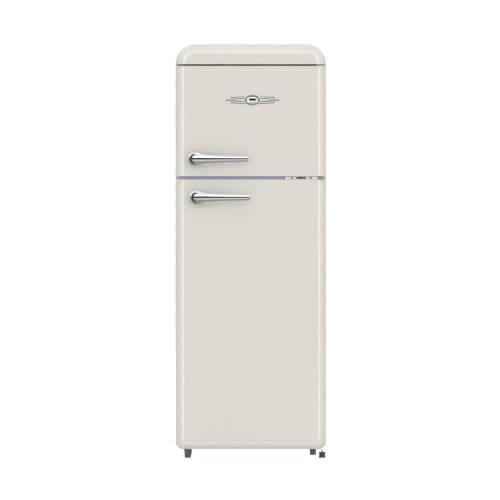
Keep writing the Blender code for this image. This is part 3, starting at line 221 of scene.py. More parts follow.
SLOT_FINISH = {
    "cream_paint": "paint",
    "cream_plastic": "moulding",
    "chrome": "chrome",
    "steel": "zinc",
    "strip_paint": "strip",
    "white_liner": "liner",
    "gasket_rubber": "rubber",
    "foam": "foam",
    "foot_plastic": "foot",
    "dark_plastic": "dark",
    "clear_plastic": "clear",
    "shelf_glass": "glass",
    "black_enamel": "enamel",
    "copper": "copper",
    "aluminium": "aluminium",
    "lamp_glass": "frost",
}
FINISH_SLOT = {finish: slot for slot, finish in SLOT_FINISH.items()}
FINISH_SLOT.update(recess="dark_plastic", satin="chrome")


def finish_cad_nodes():
    """Gives every CAD node the textured finish of the slot that it was modelled in."""
    for node in frame["nodes"]:
        for slot in bpy.data.objects[node].material_slots:
            slot.material = M[SLOT_FINISH[slot.material.name.split(".")[0]]]


# ======== Mesh building ========
def arc(centre, radius, start, stop, steps):
    angles = [math.radians(start + (stop - start) * i / steps) for i in range(steps + 1)]
    return [(centre[0] + radius * math.cos(a), centre[1] + radius * math.sin(a)) for a in angles]


def scaled(pairs, across=MM, along=MM):
    """A profile from plain numbers: millimetres, or shares of the sizes given."""
    return [(a * across, b * along) for a, b in pairs]


def middle_of(low, high):
    return (Vector(low) + Vector(high)) / 2


def place(axis, flat, along):
    a, b = flat
    return {"X": (along, a, b), "Y": (a, along, b), "Z": (a, b, along)}[axis]


def loft(rings, closed=False, into=None):
    """Faces through rings of equal length, capped at both ends or closed into a loop."""
    bm = into or bmesh.new()
    rows = [[bm.verts.new(point) for point in ring] for ring in rings]
    count = len(rings[0])
    pairs = list(zip(rows, rows[1:]))
    if closed:
        pairs.append((rows[-1], rows[0]))
    for lower, upper in pairs:
        for i in range(count):
            j = (i + 1) % count
            bm.faces.new((lower[i], lower[j], upper[j], upper[i]))
    if not closed:
        bm.faces.new(rows[0])
        bm.faces.new(rows[-1])
    return bm


def rounded(low, high, radius, steps=6):
    """A rectangle with rounded corners, anticlockwise. A pair of radii is for its low and its high end."""
    first, second = radius if isinstance(radius, tuple) else (radius, radius)
    return (
        arc((high[0] - first, low[1] + first), first, -90, 0, steps)
        + arc((high[0] - second, high[1] - second), second, 0, 90, steps)
        + arc((low[0] + second, high[1] - second), second, 90, 180, steps)
        + arc((low[0] + first, low[1] + first), first, 180, 270, steps)
    )


def stack(axis, rows, closed=False, into=None, steps=6):
    """A loft of rounded rectangles: each row is (low corner, high corner, corner radius, level)."""
    rings = []
    for low, high, radius, level in rows:
        rings.append([place(axis, point, level) for point in rounded(low, high, radius, steps)])
    return loft(rings, closed, into)


def inset_row(low, high, inset, radius, level):
    low = (low[0] + inset, low[1] + inset)
    high = (high[0] - inset, high[1] - inset)
    if isinstance(radius, tuple):
        return low, high, tuple(max(r - inset, 0.2 * MM) for r in radius), level
    return low, high, max(radius - inset, 0.2 * MM), level


def quarter(steps=5):
    """Pairs (share across, share along) of a quarter round, from its start to its end."""
    angles = [math.radians(90 * i / steps) for i in range(steps + 1)]
    return [(1 - math.sin(a), 1 - math.cos(a)) for a in angles]


def flat_of(axis, point):
    x, y, z = point
    return {"X": (y, z), "Y": (x, z), "Z": (x, y)}[axis], {"X": x, "Y": y, "Z": z}[axis]


def soft_box(low, high, corner, edge, axis="Z", into=None):
    """A box with rounded corners round its axis and rounded edges at both ends.

    A ring just inside each end keeps the shading of the flat face flat.
    """
    a, start = flat_of(axis, low)
    b, stop = flat_of(axis, high)
    rows = [inset_row(a, b, edge * across, corner, start + edge * along) for across, along in quarter(4)]
    ends = [inset_row(a, b, edge * across, corner, stop - edge * along) for across, along in quarter(4)]
    narrow = min(b[0] - a[0], b[1] - a[1]) / 2
    hold = min(HOLD, (narrow - edge) / 2)
    if hold > 0.02 * MM:
        rows.insert(0, inset_row(a, b, edge + hold, corner, start))
        ends.insert(0, inset_row(a, b, edge + hold, corner, stop))
    return stack(axis, rows + ends[::-1], into=into)


def lathe(profile, centre, axis="Z", sides=40, into=None, closed=False, ribs=0, rib_depth=0.0):
    """A solid of revolution from (radius, height) pairs, ribbed if asked. A closed profile makes a ring."""
    rings = []
    for radius, height in profile:
        ring = []
        for i in range(sides):
            a = 2 * math.pi * (i + 0.5) / sides
            r = radius - rib_depth * (0.5 - 0.5 * math.cos(ribs * a))
            point = place(axis, (r * math.cos(a), r * math.sin(a)), height)
            ring.append(tuple(Vector(centre) + Vector(point)))
        rings.append(ring)
    return loft(rings, closed, into)


def softened(bm, width, segments=2, angle=30):
    """Rounds every edge of a mesh that is sharper than an angle."""
    bmesh.ops.recalc_face_normals(bm, faces=bm.faces)
    limit = math.radians(angle)
    edges = [edge for edge in bm.edges if edge.calc_face_angle(0.0) > limit]
    bmesh.ops.bevel(bm, geom=edges, offset=width, segments=segments, profile=0.5, affect="EDGES")
    return bm


def merge(target, source):
    """Adds one bmesh to another."""
    mesh = bpy.data.meshes.new("part")
    source.to_mesh(mesh)
    source.free()
    target.from_mesh(mesh)
    bpy.data.meshes.remove(mesh)
    return target


def tray(low, high, wall, corner, rim, base=5 * MM, shift=lambda height: 0.0, inset=1 * MM):
    """An open tub with a rounded foot and a rim that stands proud. Shift moves its far side by height."""
    def row(extra, height, radius=corner):
        far = (high.x, high.y + shift(height))
        return inset_row((low.x, low.y), far, extra, radius, height)

    rows = [row(inset + base * a, low.z + base * b) for a, b in quarter(5)]
    rows += [row(inset, high.z - rim - inset), row(0.0, high.z - rim)]
    rows += [row(0.0, high.z - 0.8 * MM), row(0.8 * MM, high.z)]
    rows += [row(inset + wall - 0.6 * MM, high.z), row(inset + wall, high.z - 0.6 * MM)]
    inner = base * 0.8
    floor = low.z + wall
    rows += [row(inset + wall + inner * a, floor + inner * b) for a, b in quarter(5)[::-1]]
    return stack("Z", rows)


def prism(outline, axis, low, high, into=None):
    return loft([[place(axis, p, level) for p in outline] for level in (low, high)], into=into)


def piece(name, bm, finish, body, node=None, angle=38):
    """Makes the bmesh a shown piece that moves with a body and, where one is named, hides that CAD node so
    that the piece shows in its place.
    """
    bmesh.ops.recalc_face_normals(bm, faces=bm.faces)
    mesh = bpy.data.meshes.new(name)
    bm.to_mesh(mesh)
    bm.free()
    mesh.shade_smooth()
    mesh.set_sharp_from_angle(angle=math.radians(angle))
    mesh.materials.append(M[finish])
    made = bpy.data.objects.new(name, mesh)
    bpy.context.scene.collection.objects.link(made)
    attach(made, body)
    if node:
        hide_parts(node)


# ======== Doors ========
FRIDGE_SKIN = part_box("fridge_door_skin")
HALF_WIDTH = FRIDGE_SKIN[1].x
DOOR_FRONT = FRIDGE_SKIN[0].y
DOOR_REAR = FRIDGE_SKIN[1].y


def door_outline(inset=0.0, steps=14):
    """A door's plan: rounded at both front corners, square at the rear."""
    half = HALF_WIDTH - inset
    front = DOOR_FRONT + inset
    radius = DOOR_EDGE_RADIUS - inset
    outline = arc((-half + radius, front + radius), radius, 180, 270, steps)
    outline += arc((half - radius, front + radius), radius, 270, 360, steps)
    return outline + [(half, DOOR_REAR - inset), (-half, DOOR_REAR - inset)]


def door_skin(node, body):
    low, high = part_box(node)
    outer = door_outline()[:-2]
    inner = door_outline(SKIN_SHEET)[:-2][::-1]
    end = HALF_WIDTH - SKIN_RETURN
    rear = DOOR_REAR - SKIN_SHEET
    side = HALF_WIDTH - SKIN_SHEET
    outline = [(-end, DOOR_REAR), (-HALF_WIDTH, DOOR_REAR)] + outer + [(HALF_WIDTH, DOOR_REAR)]
    outline += [(end, DOOR_REAR), (end, rear), (side, rear)] + inner + [(-side, rear), (-end, rear)]
    piece(node + "_panel", prism(outline, "Z", low.z, high.z), "paint", body, node)


def end_cap(node, body, joint, end):
    """A door's flat end cap, rounded over towards the door's end."""
    side = 1 if end > joint else -1
    rings = [[(x, y, joint) for x, y in door_outline()]]
    rings.append([(x, y, joint + side * 0.9 * MM) for x, y in door_outline(-CAP_LIP)])
    for across, along in quarter(5)[::-1]:
        level = end - side * CAP_EDGE_RADIUS * along
        rings.append([(x, y, level) for x, y in door_outline(CAP_EDGE_RADIUS * across - CAP_LIP)])
    rings.append([(x, y, end) for x, y in door_outline(CAP_EDGE_RADIUS + HOLD)])
    piece(node + "_moulding", loft(rings), "moulding", body, node)


def rolled_cap(node, body):
    """The fridge door's foot: rolled under at the front and sides, with a rim that stands a little proud."""
    low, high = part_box(node)
    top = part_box("fridge_door_skin")[0].z - 0.3 * MM
    flare = high.x - HALF_WIDTH
    rings = [[(x, y, low.z) for x, y in door_outline(FOOT_ROLL - flare + HOLD)]]
    for across, along in quarter(14):
        inset = FOOT_ROLL * across - flare
        rings.append([(x, y, low.z + FOOT_ROLL * along) for x, y in door_outline(inset)])
    rings.append([(x, y, top - 1.8 * MM) for x, y in door_outline(-flare)])
    rings.append([(x, y, top) for x, y in door_outline(0.4 * MM)])
    piece(node + "_moulding", loft(rings), "moulding", body, node)


def doors():
    for body, prefix in ((FREEZER, "freezer_door"), (FRIDGE, "fridge_door")):
        door_skin(prefix + "_skin", body)
        skin_top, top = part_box(prefix + "_skin")[1].z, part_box(prefix + "_cap_top")[1].z
        end_cap(prefix + "_cap_top", body, skin_top + CAP_JOINT, top)
    skin_bottom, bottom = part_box("freezer_door_skin")[0].z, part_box("freezer_door_cap_bottom")[0].z
    end_cap("freezer_door_cap_bottom", FREEZER, skin_bottom - CAP_JOINT, bottom)
    rolled_cap("fridge_door_cap_bottom", FRIDGE)


# ======== Top cover ========
def top_cover():
    low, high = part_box("top_cover")

    def ring(inset, y):
        half = HALF_WIDTH - inset
        top = high.z - inset
        radius = COVER_CORNER_RADIUS - inset
        right = arc((half - radius, top - radius), radius, 0, 90, 20)
        left = arc((-half + radius, top - radius), radius, 90, 180, 20)
        return [(x, y, z) for x, z in [(half, low.z)] + right + left + [(-half, low.z)]]

    rings = [ring(COVER_ROLL + HOLD, low.y)]
    rings += [ring(COVER_ROLL * across, low.y + COVER_ROLL * along) for across, along in quarter(14)]
    back = [ring(COVER_BACK_RADIUS * a, high.y - COVER_BACK_RADIUS * b) for a, b in quarter(5)]
    piece("top_cover_moulding", loft(rings + back[::-1]), "moulding", CABINET, "top_cover")


# ======== Cabinet outside ========
def cabinet_shell():
    """The folded sheet: two sides that roll under at the bottom and turn in at the front, and a top."""
    low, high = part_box("cabinet_shell")
    sheet = SKIN_SHEET
    corner = arc((SHELL_EDGE, low.y + SHELL_EDGE), SHELL_EDGE, 180, 270, 6)
    inner = arc((SHELL_EDGE, low.y + SHELL_EDGE), SHELL_EDGE - sheet, 270, 180, 6)
    flange = [(SHELL_FLANGE, low.y), (SHELL_FLANGE, low.y + sheet)]
    plan = [(0.0, high.y)] + corner + flange + inner + [(sheet, high.y)]
    centre = Vector((high.x - BASE_ROUND, low.z + BASE_ROUND))
    stations = [(Vector((high.x, high.z)), 0.0)]
    for i in range(13):
        turn = math.radians(-90 * i / 12)
        stations.append((centre + Vector((math.cos(turn), math.sin(turn))) * BASE_ROUND, turn))
    bm = bmesh.new()
    for side in (-1, 1):
        rings = []
        for place_at, turn in stations:
            outward = Vector((math.cos(turn), math.sin(turn)))
            ring = [(place_at - outward * inset, y) for inset, y in plan]
            rings.append([(side * p.x, y, p.y) for p, y in ring])
        loft(rings, into=bm)
    top_low = (low.x + sheet, low.y + sheet, high.z - sheet)
    soft_box(top_low, (high.x - sheet, high.y, high.z), 1 * MM, 0.3 * MM, into=bm)
    lip_low = (low.x + SHELL_FLANGE, low.y, high.z - SHELL_FLANGE)
    soft_box(lip_low, (high.x - SHELL_FLANGE, low.y + sheet, high.z), 0.4 * MM, 0.3 * MM, into=bm)
    piece("cabinet_shell_sheet", bm, "paint", CABINET, "cabinet_shell")


def mullion():
    """The painted strip between the doors, with a rounded nose."""
    low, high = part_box("mullion_strip")
    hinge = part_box("middle_hinge")
    middle = (low.z + high.z) / 2
    nose_half = 3.5 * MM
    nose_round = 20 * MM  # its left end keeps inside the doors' rounded corners
    face_back = high.y
    face = face_back - 2 * MM
    bm = soft_box((low.x, face, low.z), (high.x, face_back, high.z), 0.8 * MM, 0.5 * MM, "X")
    left, right = 5 * MM - HALF_WIDTH, hinge[0].x - 2.4 * MM
    outline = arc((left + nose_round, low.y + nose_round), nose_round, 180, 270, 8)
    outline += [(right, low.y), (right, face + 1 * MM), (left, face + 1 * MM)]
    merge(bm, softened(prism(outline, "Z", middle - nose_half, middle + nose_half), 1 * MM))
    piece("mullion_strip_painted", bm, "strip", CABINET, "mullion_strip")


# ======== Handles ========
HANDLE_HUB = 25.5 * MM
HANDLE_WAIST = 14.4 * MM
HANDLE_TIP = 10.0 * MM
HUB_DROP = 4.4 * MM  # the hub's face lies this far behind the teardrop's
HUB_LAND = 0.4 * MM
TEARDROP_START = 14.2 * MM
TEARDROP_ROUND = 16 * MM
LAND = (7.2 * MM, 4.6 * MM)  # width of the flat strip along the teardrop, at the hub and at the tip
LAND_RISE = 1.4 * MM  # how far the strip runs above the lever's middle
LAND_TILT = math.tan(math.radians(4.5))
# Width of the dark crescent of painted shade and painted reflection round the teardrop's end
PAINTED_CRESCENT_WIDTH = 8 * MM


def lever_outline(along, length):
    """Half the lever's height at a distance from its left end: a round hub that runs out into a slim bar."""
    neck = 3.3 * HANDLE_HUB
    if along < HANDLE_HUB:
        return math.sqrt(max(HANDLE_HUB**2 - (HANDLE_HUB - along) ** 2, 0.0))
    if along < neck:
        t = (along - HANDLE_HUB) / (neck - HANDLE_HUB)
        return HANDLE_WAIST + (HANDLE_HUB - HANDLE_WAIST) * (0.5 + 0.5 * math.cos(math.pi * t)) ** 1.15
    t = (along - neck) / (length - neck)
    return HANDLE_WAIST + (HANDLE_TIP - HANDLE_WAIST) * t**0.85


def teardrop_outline(along, length):
    """Half the raised part's height: a round end on the hub that runs out to the bar's own height."""
    past = along - TEARDROP_START
    if past < TEARDROP_ROUND:
        return math.sqrt(max(TEARDROP_ROUND**2 - (TEARDROP_ROUND - past) ** 2, 0.0))
    t = min((past - TEARDROP_ROUND) / (3.1 * HANDLE_HUB), 1.0)
    share = t * t * (3 - 2 * t)
    return TEARDROP_ROUND * (1 - share) + lever_outline(along, length) * share


def lever_front(height, half, bulge, land, rise=0.0):
    """How far an oval section's front lies behind its crown. A narrow flat land runs along it."""
    above = height - rise
    reach = half - rise if above > 0 else half + rise
    share = min(abs(above) / reach, 1.0)
    edge = min(land / 2 / reach, 0.9)
    dip = bulge * (math.sqrt(1 - edge**2) - math.sqrt(1 - share**2)) if share > edge else 0.0
    tilt = (max(-land / 2, min(above, land / 2)) + land / 2) * LAND_TILT
    return dip + tilt


def lever_section(x, front, middle, half, bulge, depth, land, rise=0.0):
    """One cross-section, from the top of the front round to the flatter back."""
    steps = [math.sin(math.radians(90 * i / 9)) for i in range(10)]
    heights = [half * v for v in steps] + [-half * v for v in steps]
    heights += [edge for edge in (rise + land / 2, rise - land / 2) if abs(edge) < half * 0.9]
    heights = sorted(set(heights), reverse=True)
    points = [(x, front + lever_front(h, half, bulge, land, rise), middle + h) for h in heights]
    reach = bulge * math.sqrt(1 - min(land / 2 / half, 0.9) ** 2)
    depth *= min(1.0, half / (7 * MM))
    back = max(depth - reach, 0.3 * MM)
    for i in range(1, 8):
        angle = math.radians(180 * i / 8)
        points.append((x, front + reach + back * math.sin(angle), middle - half * math.cos(angle)))
    return points


def skirt_shape(along, length):
    """The hub and its run-out: half its height, how far its crown lies behind the teardrop's, its bulge."""
    half = lever_outline(along, length) - 0.3 * MM
    drop = HUB_DROP
    if along < HANDLE_HUB:
        drop += (HANDLE_HUB - half) * 0.3
    return half, drop, half * 0.42


def skirt(left, front, middle, length, into):
    first, last = HANDLE_HUB * 0.03, 3.9 * HANDLE_HUB
    rings = []
    for i in range(45):
        along = first + (last - first) * (i / 44) ** 1.4
        half, drop, bulge = skirt_shape(along, length)
        rings.append(lever_section(left + along, front + drop, middle, half, bulge, 9 * MM, HUB_LAND))
    loft(rings, into=into)


def teardrop(left, front, middle, length, into):
    first = TEARDROP_START + 0.25 * MM
    rings = []
    for i in range(73):
        along = first + (length - first) * (i / 72) ** 1.5
        half = teardrop_outline(along, length)
        land = LAND[0] + (LAND[1] - LAND[0]) * along / length
        rise = min(LAND_RISE, half * 0.3)
        rings.append(lever_section(left + along, front, middle, half, half * 0.58, 11 * MM, land, rise))
    tip = rings[-1]
    centre = sum((Vector(p) for p in tip), Vector()) / len(tip)
    rings += [[tuple(centre + (Vector(p) - centre) * scale) for p in tip] for scale in (0.93, 0.8)]
    loft(rings, into=into)


def hub_painted_crescent(left, front, middle, length):
    """A dark band round the teardrop's end, widest at its left, where it drops to the hub's face: painted
    shade and painted dark reflection laid on the chrome where it steps down.
    """
    centre = left + TEARDROP_START + TEARDROP_ROUND
    count = 32
    rings = []
    for i in range(count + 1):
        turn = math.radians(96 + 168 * i / count)
        width = PAINTED_CRESCENT_WIDTH * math.sin(math.pi * (i + 0.6) / (count + 1.2)) ** 0.7
        ring = []
        for across, lift in ((0.0, 0.0), (0.5, -0.5), (1.0, 0.0), (1.0, 1.6), (0.0, 1.6)):
            radius = TEARDROP_ROUND - 0.6 * MM + width * across
            x = centre + radius * math.cos(turn)
            z = radius * math.sin(turn) + LAND_RISE / 2
            half, drop, bulge = skirt_shape(x - left, length)
            surface = front + drop + lever_front(z, half, bulge, HUB_LAND)
            ring.append((x, surface + lift * MM - 0.25 * MM, middle + z))
        rings.append(ring)
    return loft(rings)


def handle(prefix, body):
    """A chrome lever: a domed hub, a raised teardrop that runs out into a slim bar, and a round base."""
    low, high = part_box(prefix + "_handle_lever")
    left = low.x - 0.5 * MM
    spine = (left, low.y, (low.z + high.z) / 2, high.x - left)
    bm = bmesh.new()
    skirt(*spine, bm)
    teardrop(*spine, bm)
    rose_low, rose_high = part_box(prefix + "_handle_base")
    hub_centre = (left + HANDLE_HUB, 0.0, spine[2])
    post = HANDLE_HUB * 0.7
    profile = [(post, low.y + 11 * MM), (post * 0.9, low.y + 16 * MM), (post * 0.86, low.y + 26 * MM)]
    profile += [(post * 0.92, rose_low.y - 3 * MM), (post * 1.02, rose_low.y - 0.4 * MM)]
    lathe(profile, hub_centre, "Y", 48, into=bm)
    piece(prefix + "_lever", bm, "chrome", body, prefix + "_handle_lever", angle=50)

    rim = HANDLE_HUB * 0.86
    profile = [(rim * 0.86, rose_low.y), (rim * 0.95, rose_low.y + 0.5 * MM)]
    profile += [(rim, rose_low.y + 1.4 * MM), (rim, rose_high.y)]
    piece(prefix + "_rosette", lathe(profile, hub_centre, "Y", 48), "chrome", body, prefix + "_handle_base")
    # A dark band of painted shade and painted reflection round the teardrop's end
    piece(prefix + "_lever_recess", hub_painted_crescent(*spine), "recess", body, angle=50)


# ======== Badge ========
BADGE_OVAL = 1.6  # the boss's width for its height
# A black oval a little larger than the boss, set behind it: painted shadow round the chrome
BADGE_SHADE_OUTLINE = ((1.05, 0), (1.05, 0.3), (0.9, 0.3))
BADGE_BOSS = (
    ((1, 0), (1, 0.35), (0.97, 0.75), (0.93, 1), (0.88, 1), (0.84, 0.75), (0.82, 0.4), (0.8, 0.4))
    + ((0.7, 0.42), (0.68, 0.62), (0.6, 0.8), (0.42, 0.92), (0.2, 0.98), (0.05, 1))
)
BADGE_BARS = ((0, 95, 4), (9, 78, 3.2), (-9, 78, 3.2))  # height on the badge, reach and thickness in mm


def badge_oval(centre, half, back, depth, profile, into):
    """An oval loft; the profile gives shares of the oval's size and of the badge's depth."""
    rings = []
    for scale, rise in profile:
        outline = [2 * math.pi * i / 56 for i in range(56)]
        x, z, y = half * BADGE_OVAL * scale, half * scale, back - depth * rise
        rings.append([(centre.x + x * math.cos(a), y, centre.z + z * math.sin(a)) for a in outline])
    loft(rings, into=into)


def badge_bar(centre, side, span, lift, back, depth, tall, grow, into):
    """A ridged bar that tapers and thins from its start to its end."""
    start, stop = span
    rings = []
    for i in range(11):
        t = i / 10
        half = tall * (1 - 0.74 * t) + grow
        x = centre.x + side * (start + (stop + grow - start) * t)
        z = centre.z + lift
        front = back - depth * (1 - 0.35 * t)
        step = depth * 0.35
        ring = [(back, -half), (front + step, -half), (front, 0.0), (front + step, half), (back, half)]
        rings.append([(x, y, z + height) for y, height in ring])
    loft(rings, into=into)


def badge():
    """A generic ornament: a fluted oval boss in a raised rim, with three tapered bars to each side, over a
    slightly larger black outline that is painted shadow round the chrome.
    """
    low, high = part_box("badge")
    centre = middle_of(low, high)
    half = (high.z - low.z) / 2
    half_x = half * BADGE_OVAL
    back, depth = high.y, high.y - low.y
    chrome, shade_outline = bmesh.new(), bmesh.new()
    badge_oval(centre, half, back, depth, BADGE_BOSS, chrome)
    badge_oval(centre, half, back, depth, BADGE_SHADE_OUTLINE, shade_outline)
    for side in (-1, 1):
        for lift, reach, tall in BADGE_BARS:
            span = (half_x * (0.97 if lift == 0 else 0.8), reach * MM)
            for target, grow, rise in ((chrome, 0.0, 0.85), (shade_outline, 1.1 * MM, 0.25)):
                badge_bar(centre, side, span, lift * MM, back, depth * rise, tall * MM, grow, target)
    # The black outline round the boss and bars is painted shadow round the chrome
    piece("badge_painted_shade_outline", shade_outline, "recess", FREEZER, angle=32)
    piece("badge_ornament", chrome, "chrome", FREEZER, "badge", angle=32)

    flutes = bmesh.new()
    for i in range(-5, 6):
        x = centre.x + i * 3.1 * MM
        reach = half * 0.66 * math.sqrt(max(1 - (i / 6.2) ** 2, 0.05))
        rings = []
        for k in range(9):
            t = -1 + 2 * k / 8
            ridge = back - depth * (0.96 - 0.28 * t * t - 0.2 * (i / 6) ** 2)
            z = centre.z + reach * t
            slim = 0.55 * MM * (1 - 0.5 * t * t)
            flank = ridge + 0.6 * MM
            ring = [(x - slim, flank), (x, ridge), (x + slim, flank), (x, back - depth * 0.3)]
            rings.append([(across, y, z) for across, y in ring])
        loft(rings, into=flutes)
    piece("badge_flutes", flutes, "dark", FREEZER, angle=40)


# ======== Hinges ========
HINGE_AXIS = Vector((252 * MM, -227 * MM, 0))
PIN_RADIUS = 4 * MM
HINGE_PLATE = 3 * MM
HINGE_NOSE = 13 * MM
ARM_WIDTH = 34 * MM


def hinge_arm(low, high, back, into):
    """A flat arm with a round nose about the pin."""
    right = HINGE_AXIS.x + HINGE_NOSE
    left = right - ARM_WIDTH
    front = HINGE_AXIS.y - HINGE_NOSE
    outline = [(left, back)]
    outline += arc((left + HINGE_NOSE, front + HINGE_NOSE), HINGE_NOSE, 180, 270, 8)
    outline += arc((right - HINGE_NOSE, front + HINGE_NOSE), HINGE_NOSE, 270, 360, 8)
    outline += [(right, back)]
    merge(into, softened(prism(outline, "Z", low, high), 0.6 * MM))


def pin(low, high, into):
    r = PIN_RADIUS
    profile = [(r - 0.8 * MM, low), (r, low + 0.8 * MM), (r, high - 0.8 * MM), (r - 0.8 * MM, high)]
    lathe(profile, (HINGE_AXIS.x, HINGE_AXIS.y, 0), sides=24, into=into)


def screws(name, places, axis, radius, rise):
    """Pan-head screws, whose cross recess is drawn as a dark cross of painted shade. Each place is a head's
    seat, and the axis is the way it faces.
    """
    heads, recess = bmesh.new(), bmesh.new()
    dome = scaled(((1, 0), (1, 0.35), (0.9, 0.7), (0.6, 0.95), (0.2, 1)), radius, rise)
    for seat in places:
        lathe(dome, seat, axis, 24, into=heads)
        flat, level = flat_of(axis, seat)
        for a, b in ((0.62, 0.13), (0.13, 0.62)):
            low = place(axis, (flat[0] - radius * a, flat[1] - radius * b), level + rise * 0.55)
            high = place(axis, (flat[0] + radius * a, flat[1] + radius * b), level + rise * 1.02)
            # The dark cross stands in for the shade inside the recess: painted shade
            soft_box(low, high, 0.2 * MM, 0.05 * MM, axis, into=recess)
    piece(name, heads, "zinc", CABINET)
    piece(name + "_recess", recess, "dark", CABINET)


def washer(name, body, low, high):
    """The nylon bush that a door turns on."""
    inner, outer = PIN_RADIUS + 0.4 * MM, 8.5 * MM
    profile = [(inner, low), (outer - 0.5 * MM, low), (outer, low + 0.5 * MM), (outer, high - 0.5 * MM)]
    profile += [(outer - 0.5 * MM, high), (inner, high)]
    ring = lathe(profile, (HINGE_AXIS.x, HINGE_AXIS.y, 0), sides=32, closed=True)
    piece(name, ring, "recess", body)


def hinges():
    boxes = {name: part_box(name) for name in ("top_hinge", "middle_hinge", "bottom_hinge")}
    freezer_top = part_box("freezer_door_cap_top")[1].z
    freezer_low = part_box("freezer_door_cap_bottom")[0].z
    fridge_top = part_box("fridge_door_cap_top")[1].z
    fridge_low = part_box("fridge_door_cap_bottom")[0].z

    low, high = boxes["top_hinge"]
    bm = bmesh.new()
    hinge_arm(high.z - HINGE_PLATE, high.z, high.y - 0.2 * MM, bm)
    leaf = (low.x, high.y - HINGE_PLATE, high.z - 14 * MM), (high.x, high.y, high.z - 0.3 * MM)
    soft_box(*leaf, 0.8 * MM, 0.6 * MM, "Y", into=bm)
    pin(freezer_top - 14 * MM, high.z - 0.4 * MM, bm)
    piece("top_hinge_leaf", bm, "chrome", CABINET, "top_hinge")

    low, high = boxes["middle_hinge"]
    middle = (low.z + high.z) / 2
    bm = bmesh.new()
    hinge_arm(middle - HINGE_PLATE / 2, middle + HINGE_PLATE / 2, high.y - 0.2 * MM, bm)
    leaf = (low.x, high.y - HINGE_PLATE, middle - 9 * MM), (high.x, high.y, middle + 9 * MM)
    soft_box(*leaf, 2 * MM, 0.8 * MM, "Y", into=bm)
    bar_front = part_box("mullion_strip")[0].y
    bar = (low.x, bar_front, middle - 4.3 * MM), (HINGE_AXIS.x - 12 * MM, high.y - 1 * MM, middle + 4.3 * MM)
    soft_box(*bar, 1.2 * MM, 1 * MM, "X", into=bm)
    pin(fridge_top - 14 * MM, freezer_low + 14 * MM, bm)
    piece("middle_hinge_leaf", bm, "satin", CABINET, "middle_hinge")
    # Dark slots on the bar's face: painted shade and painted dark reflection, drawn as flat inlays rather
    # than holes
    bm = bmesh.new()
    for centre, half in ((25, 3.2), (59, 18.0), (93, 4.0)):
        x = low.x + centre * MM
        slot_low = (x - half * MM, bar_front - 0.12 * MM, middle - 2.6 * MM)
        slot_high = (x + half * MM, bar_front + 2 * MM, middle + 2.6 * MM)
        soft_box(slot_low, slot_high, 2.5 * MM, 0.1 * MM, "Y", into=bm)
    piece("middle_hinge_painted_slot_shade", bm, "recess", CABINET)

    low, high = boxes["bottom_hinge"]
    bm = bmesh.new()
    hinge_arm(high.z - HINGE_PLATE, high.z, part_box("cabinet_shell")[0].y - 0.3 * MM, bm)
    pin(high.z - HINGE_PLATE / 2, fridge_low + 14 * MM, bm)
    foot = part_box("front_right_foot")
    hole = Vector(((foot[0].x + foot[1].x) / 2, (foot[0].y + foot[1].y) / 2))
    tail_low = Vector((high.x - ARM_WIDTH, HINGE_AXIS.y + 28 * MM))
    tail_high = Vector((high.x - 0.3 * MM, high.y))
    rows = []
    for inset, level in ((0.6, 0.0), (0.0, 0.6), (0.0, 2.4), (0.6, 3.0)):
        rows.append(inset_row(tail_low, tail_high, inset * MM, 3 * MM, high.z - HINGE_PLATE + level * MM))
    hole_half = Vector((5.2 * MM, 5.2 * MM))
    for level in (3.0, 0.0):
        rows.append((hole - hole_half, hole + hole_half, 5.1 * MM, high.z - HINGE_PLATE + level * MM))
    stack("Z", rows, closed=True, into=bm)
    piece("bottom_hinge_leaf", bm, "zinc", CABINET, "bottom_hinge")

    gap = 0.3 * MM
    washer("freezer_top_bush", FREEZER, freezer_top, boxes["top_hinge"][1].z - HINGE_PLATE - gap)
    washer("freezer_lower_bush", FREEZER, middle + HINGE_PLATE / 2 + gap, freezer_low)
    washer("fridge_upper_bush", FRIDGE, fridge_top, middle - HINGE_PLATE / 2 - gap)


# ======== Feet ========
# Profiles of the screw foot: (share of its radius, height in mm), and (radius in mm, share of the pitch).
SCREW_FOOT = ((0.86, 0), (0.96, 1.2), (1, 3), (1, 9), (0.86, 10.5), (0.86, 12), (1, 13.5), (1, 20), (0.9, 22))
THREAD = ((3.7, 0.0), (4.4, 0.4), (4.4, 0.55), (3.7, 0.95))
THREAD_PITCH = 1.5 * MM


def feet():
    finish = {"front_left_foot": "left_foot", "rear_left_foot": CABINET, "rear_right_foot": CABINET}
    for node, body in finish.items():
        low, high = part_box(node)
        centre = ((low.x + high.x) / 2, (low.y + high.y) / 2, 0)
        radius = (high.x - low.x) / 2
        top = 32.7 * MM
        profile = [(radius * 0.74, 0.0), (radius * 0.82, 1.0 * MM), (radius * 0.84, 2.6 * MM)]
        profile += [(radius * 0.96, top - 7 * MM), (radius, top - 5 * MM)]
        profile += [(radius, top - 1 * MM), (radius - 1 * MM, top)]
        bm = lathe(profile, centre, sides=96, ribs=16, rib_depth=1.1 * MM)
        if high.z > top + 1 * MM:
            lathe([(4.4 * MM, top - 1 * MM), (4.4 * MM, high.z)], centre, sides=24, into=bm)
        piece(node + "_pad", bm, "foot", body, node)

    low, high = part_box("front_right_foot")
    centre = ((low.x + high.x) / 2, (low.y + high.y) / 2, 0)
    profile = scaled(SCREW_FOOT, (high.x - low.x) / 2)
    bm = lathe(profile, centre, sides=120, ribs=20, rib_depth=1.4 * MM)
    piece("front_right_foot_knob", bm, "dark", "right_foot", "front_right_foot")
    profile = [(4.0 * MM, 21 * MM)]
    for i in range(int((high.z - 22 * MM) / THREAD_PITCH)):
        z = 22 * MM + i * THREAD_PITCH
        profile += [(radius * MM, z + THREAD_PITCH * share) for radius, share in THREAD]
    profile.append((3.6 * MM, high.z))
    piece("front_right_foot_stud", lathe(profile, centre, sides=28), "chrome", "right_foot")


# ======== Inside the compartments ========
LINER = 2 * MM
LINER_CORNER = 20 * MM
LINER_ROLL = 3 * MM
SIDE_WALL = 48 * MM
STEP = ((57 * MM, 0.0), (107 * MM, 175 * MM))  # the rise over the compressor, as (depth, height) pairs
STEP_EASE = (9 * MM, 2.2 * MM)  # rounding of the rise, at its foot and at its head


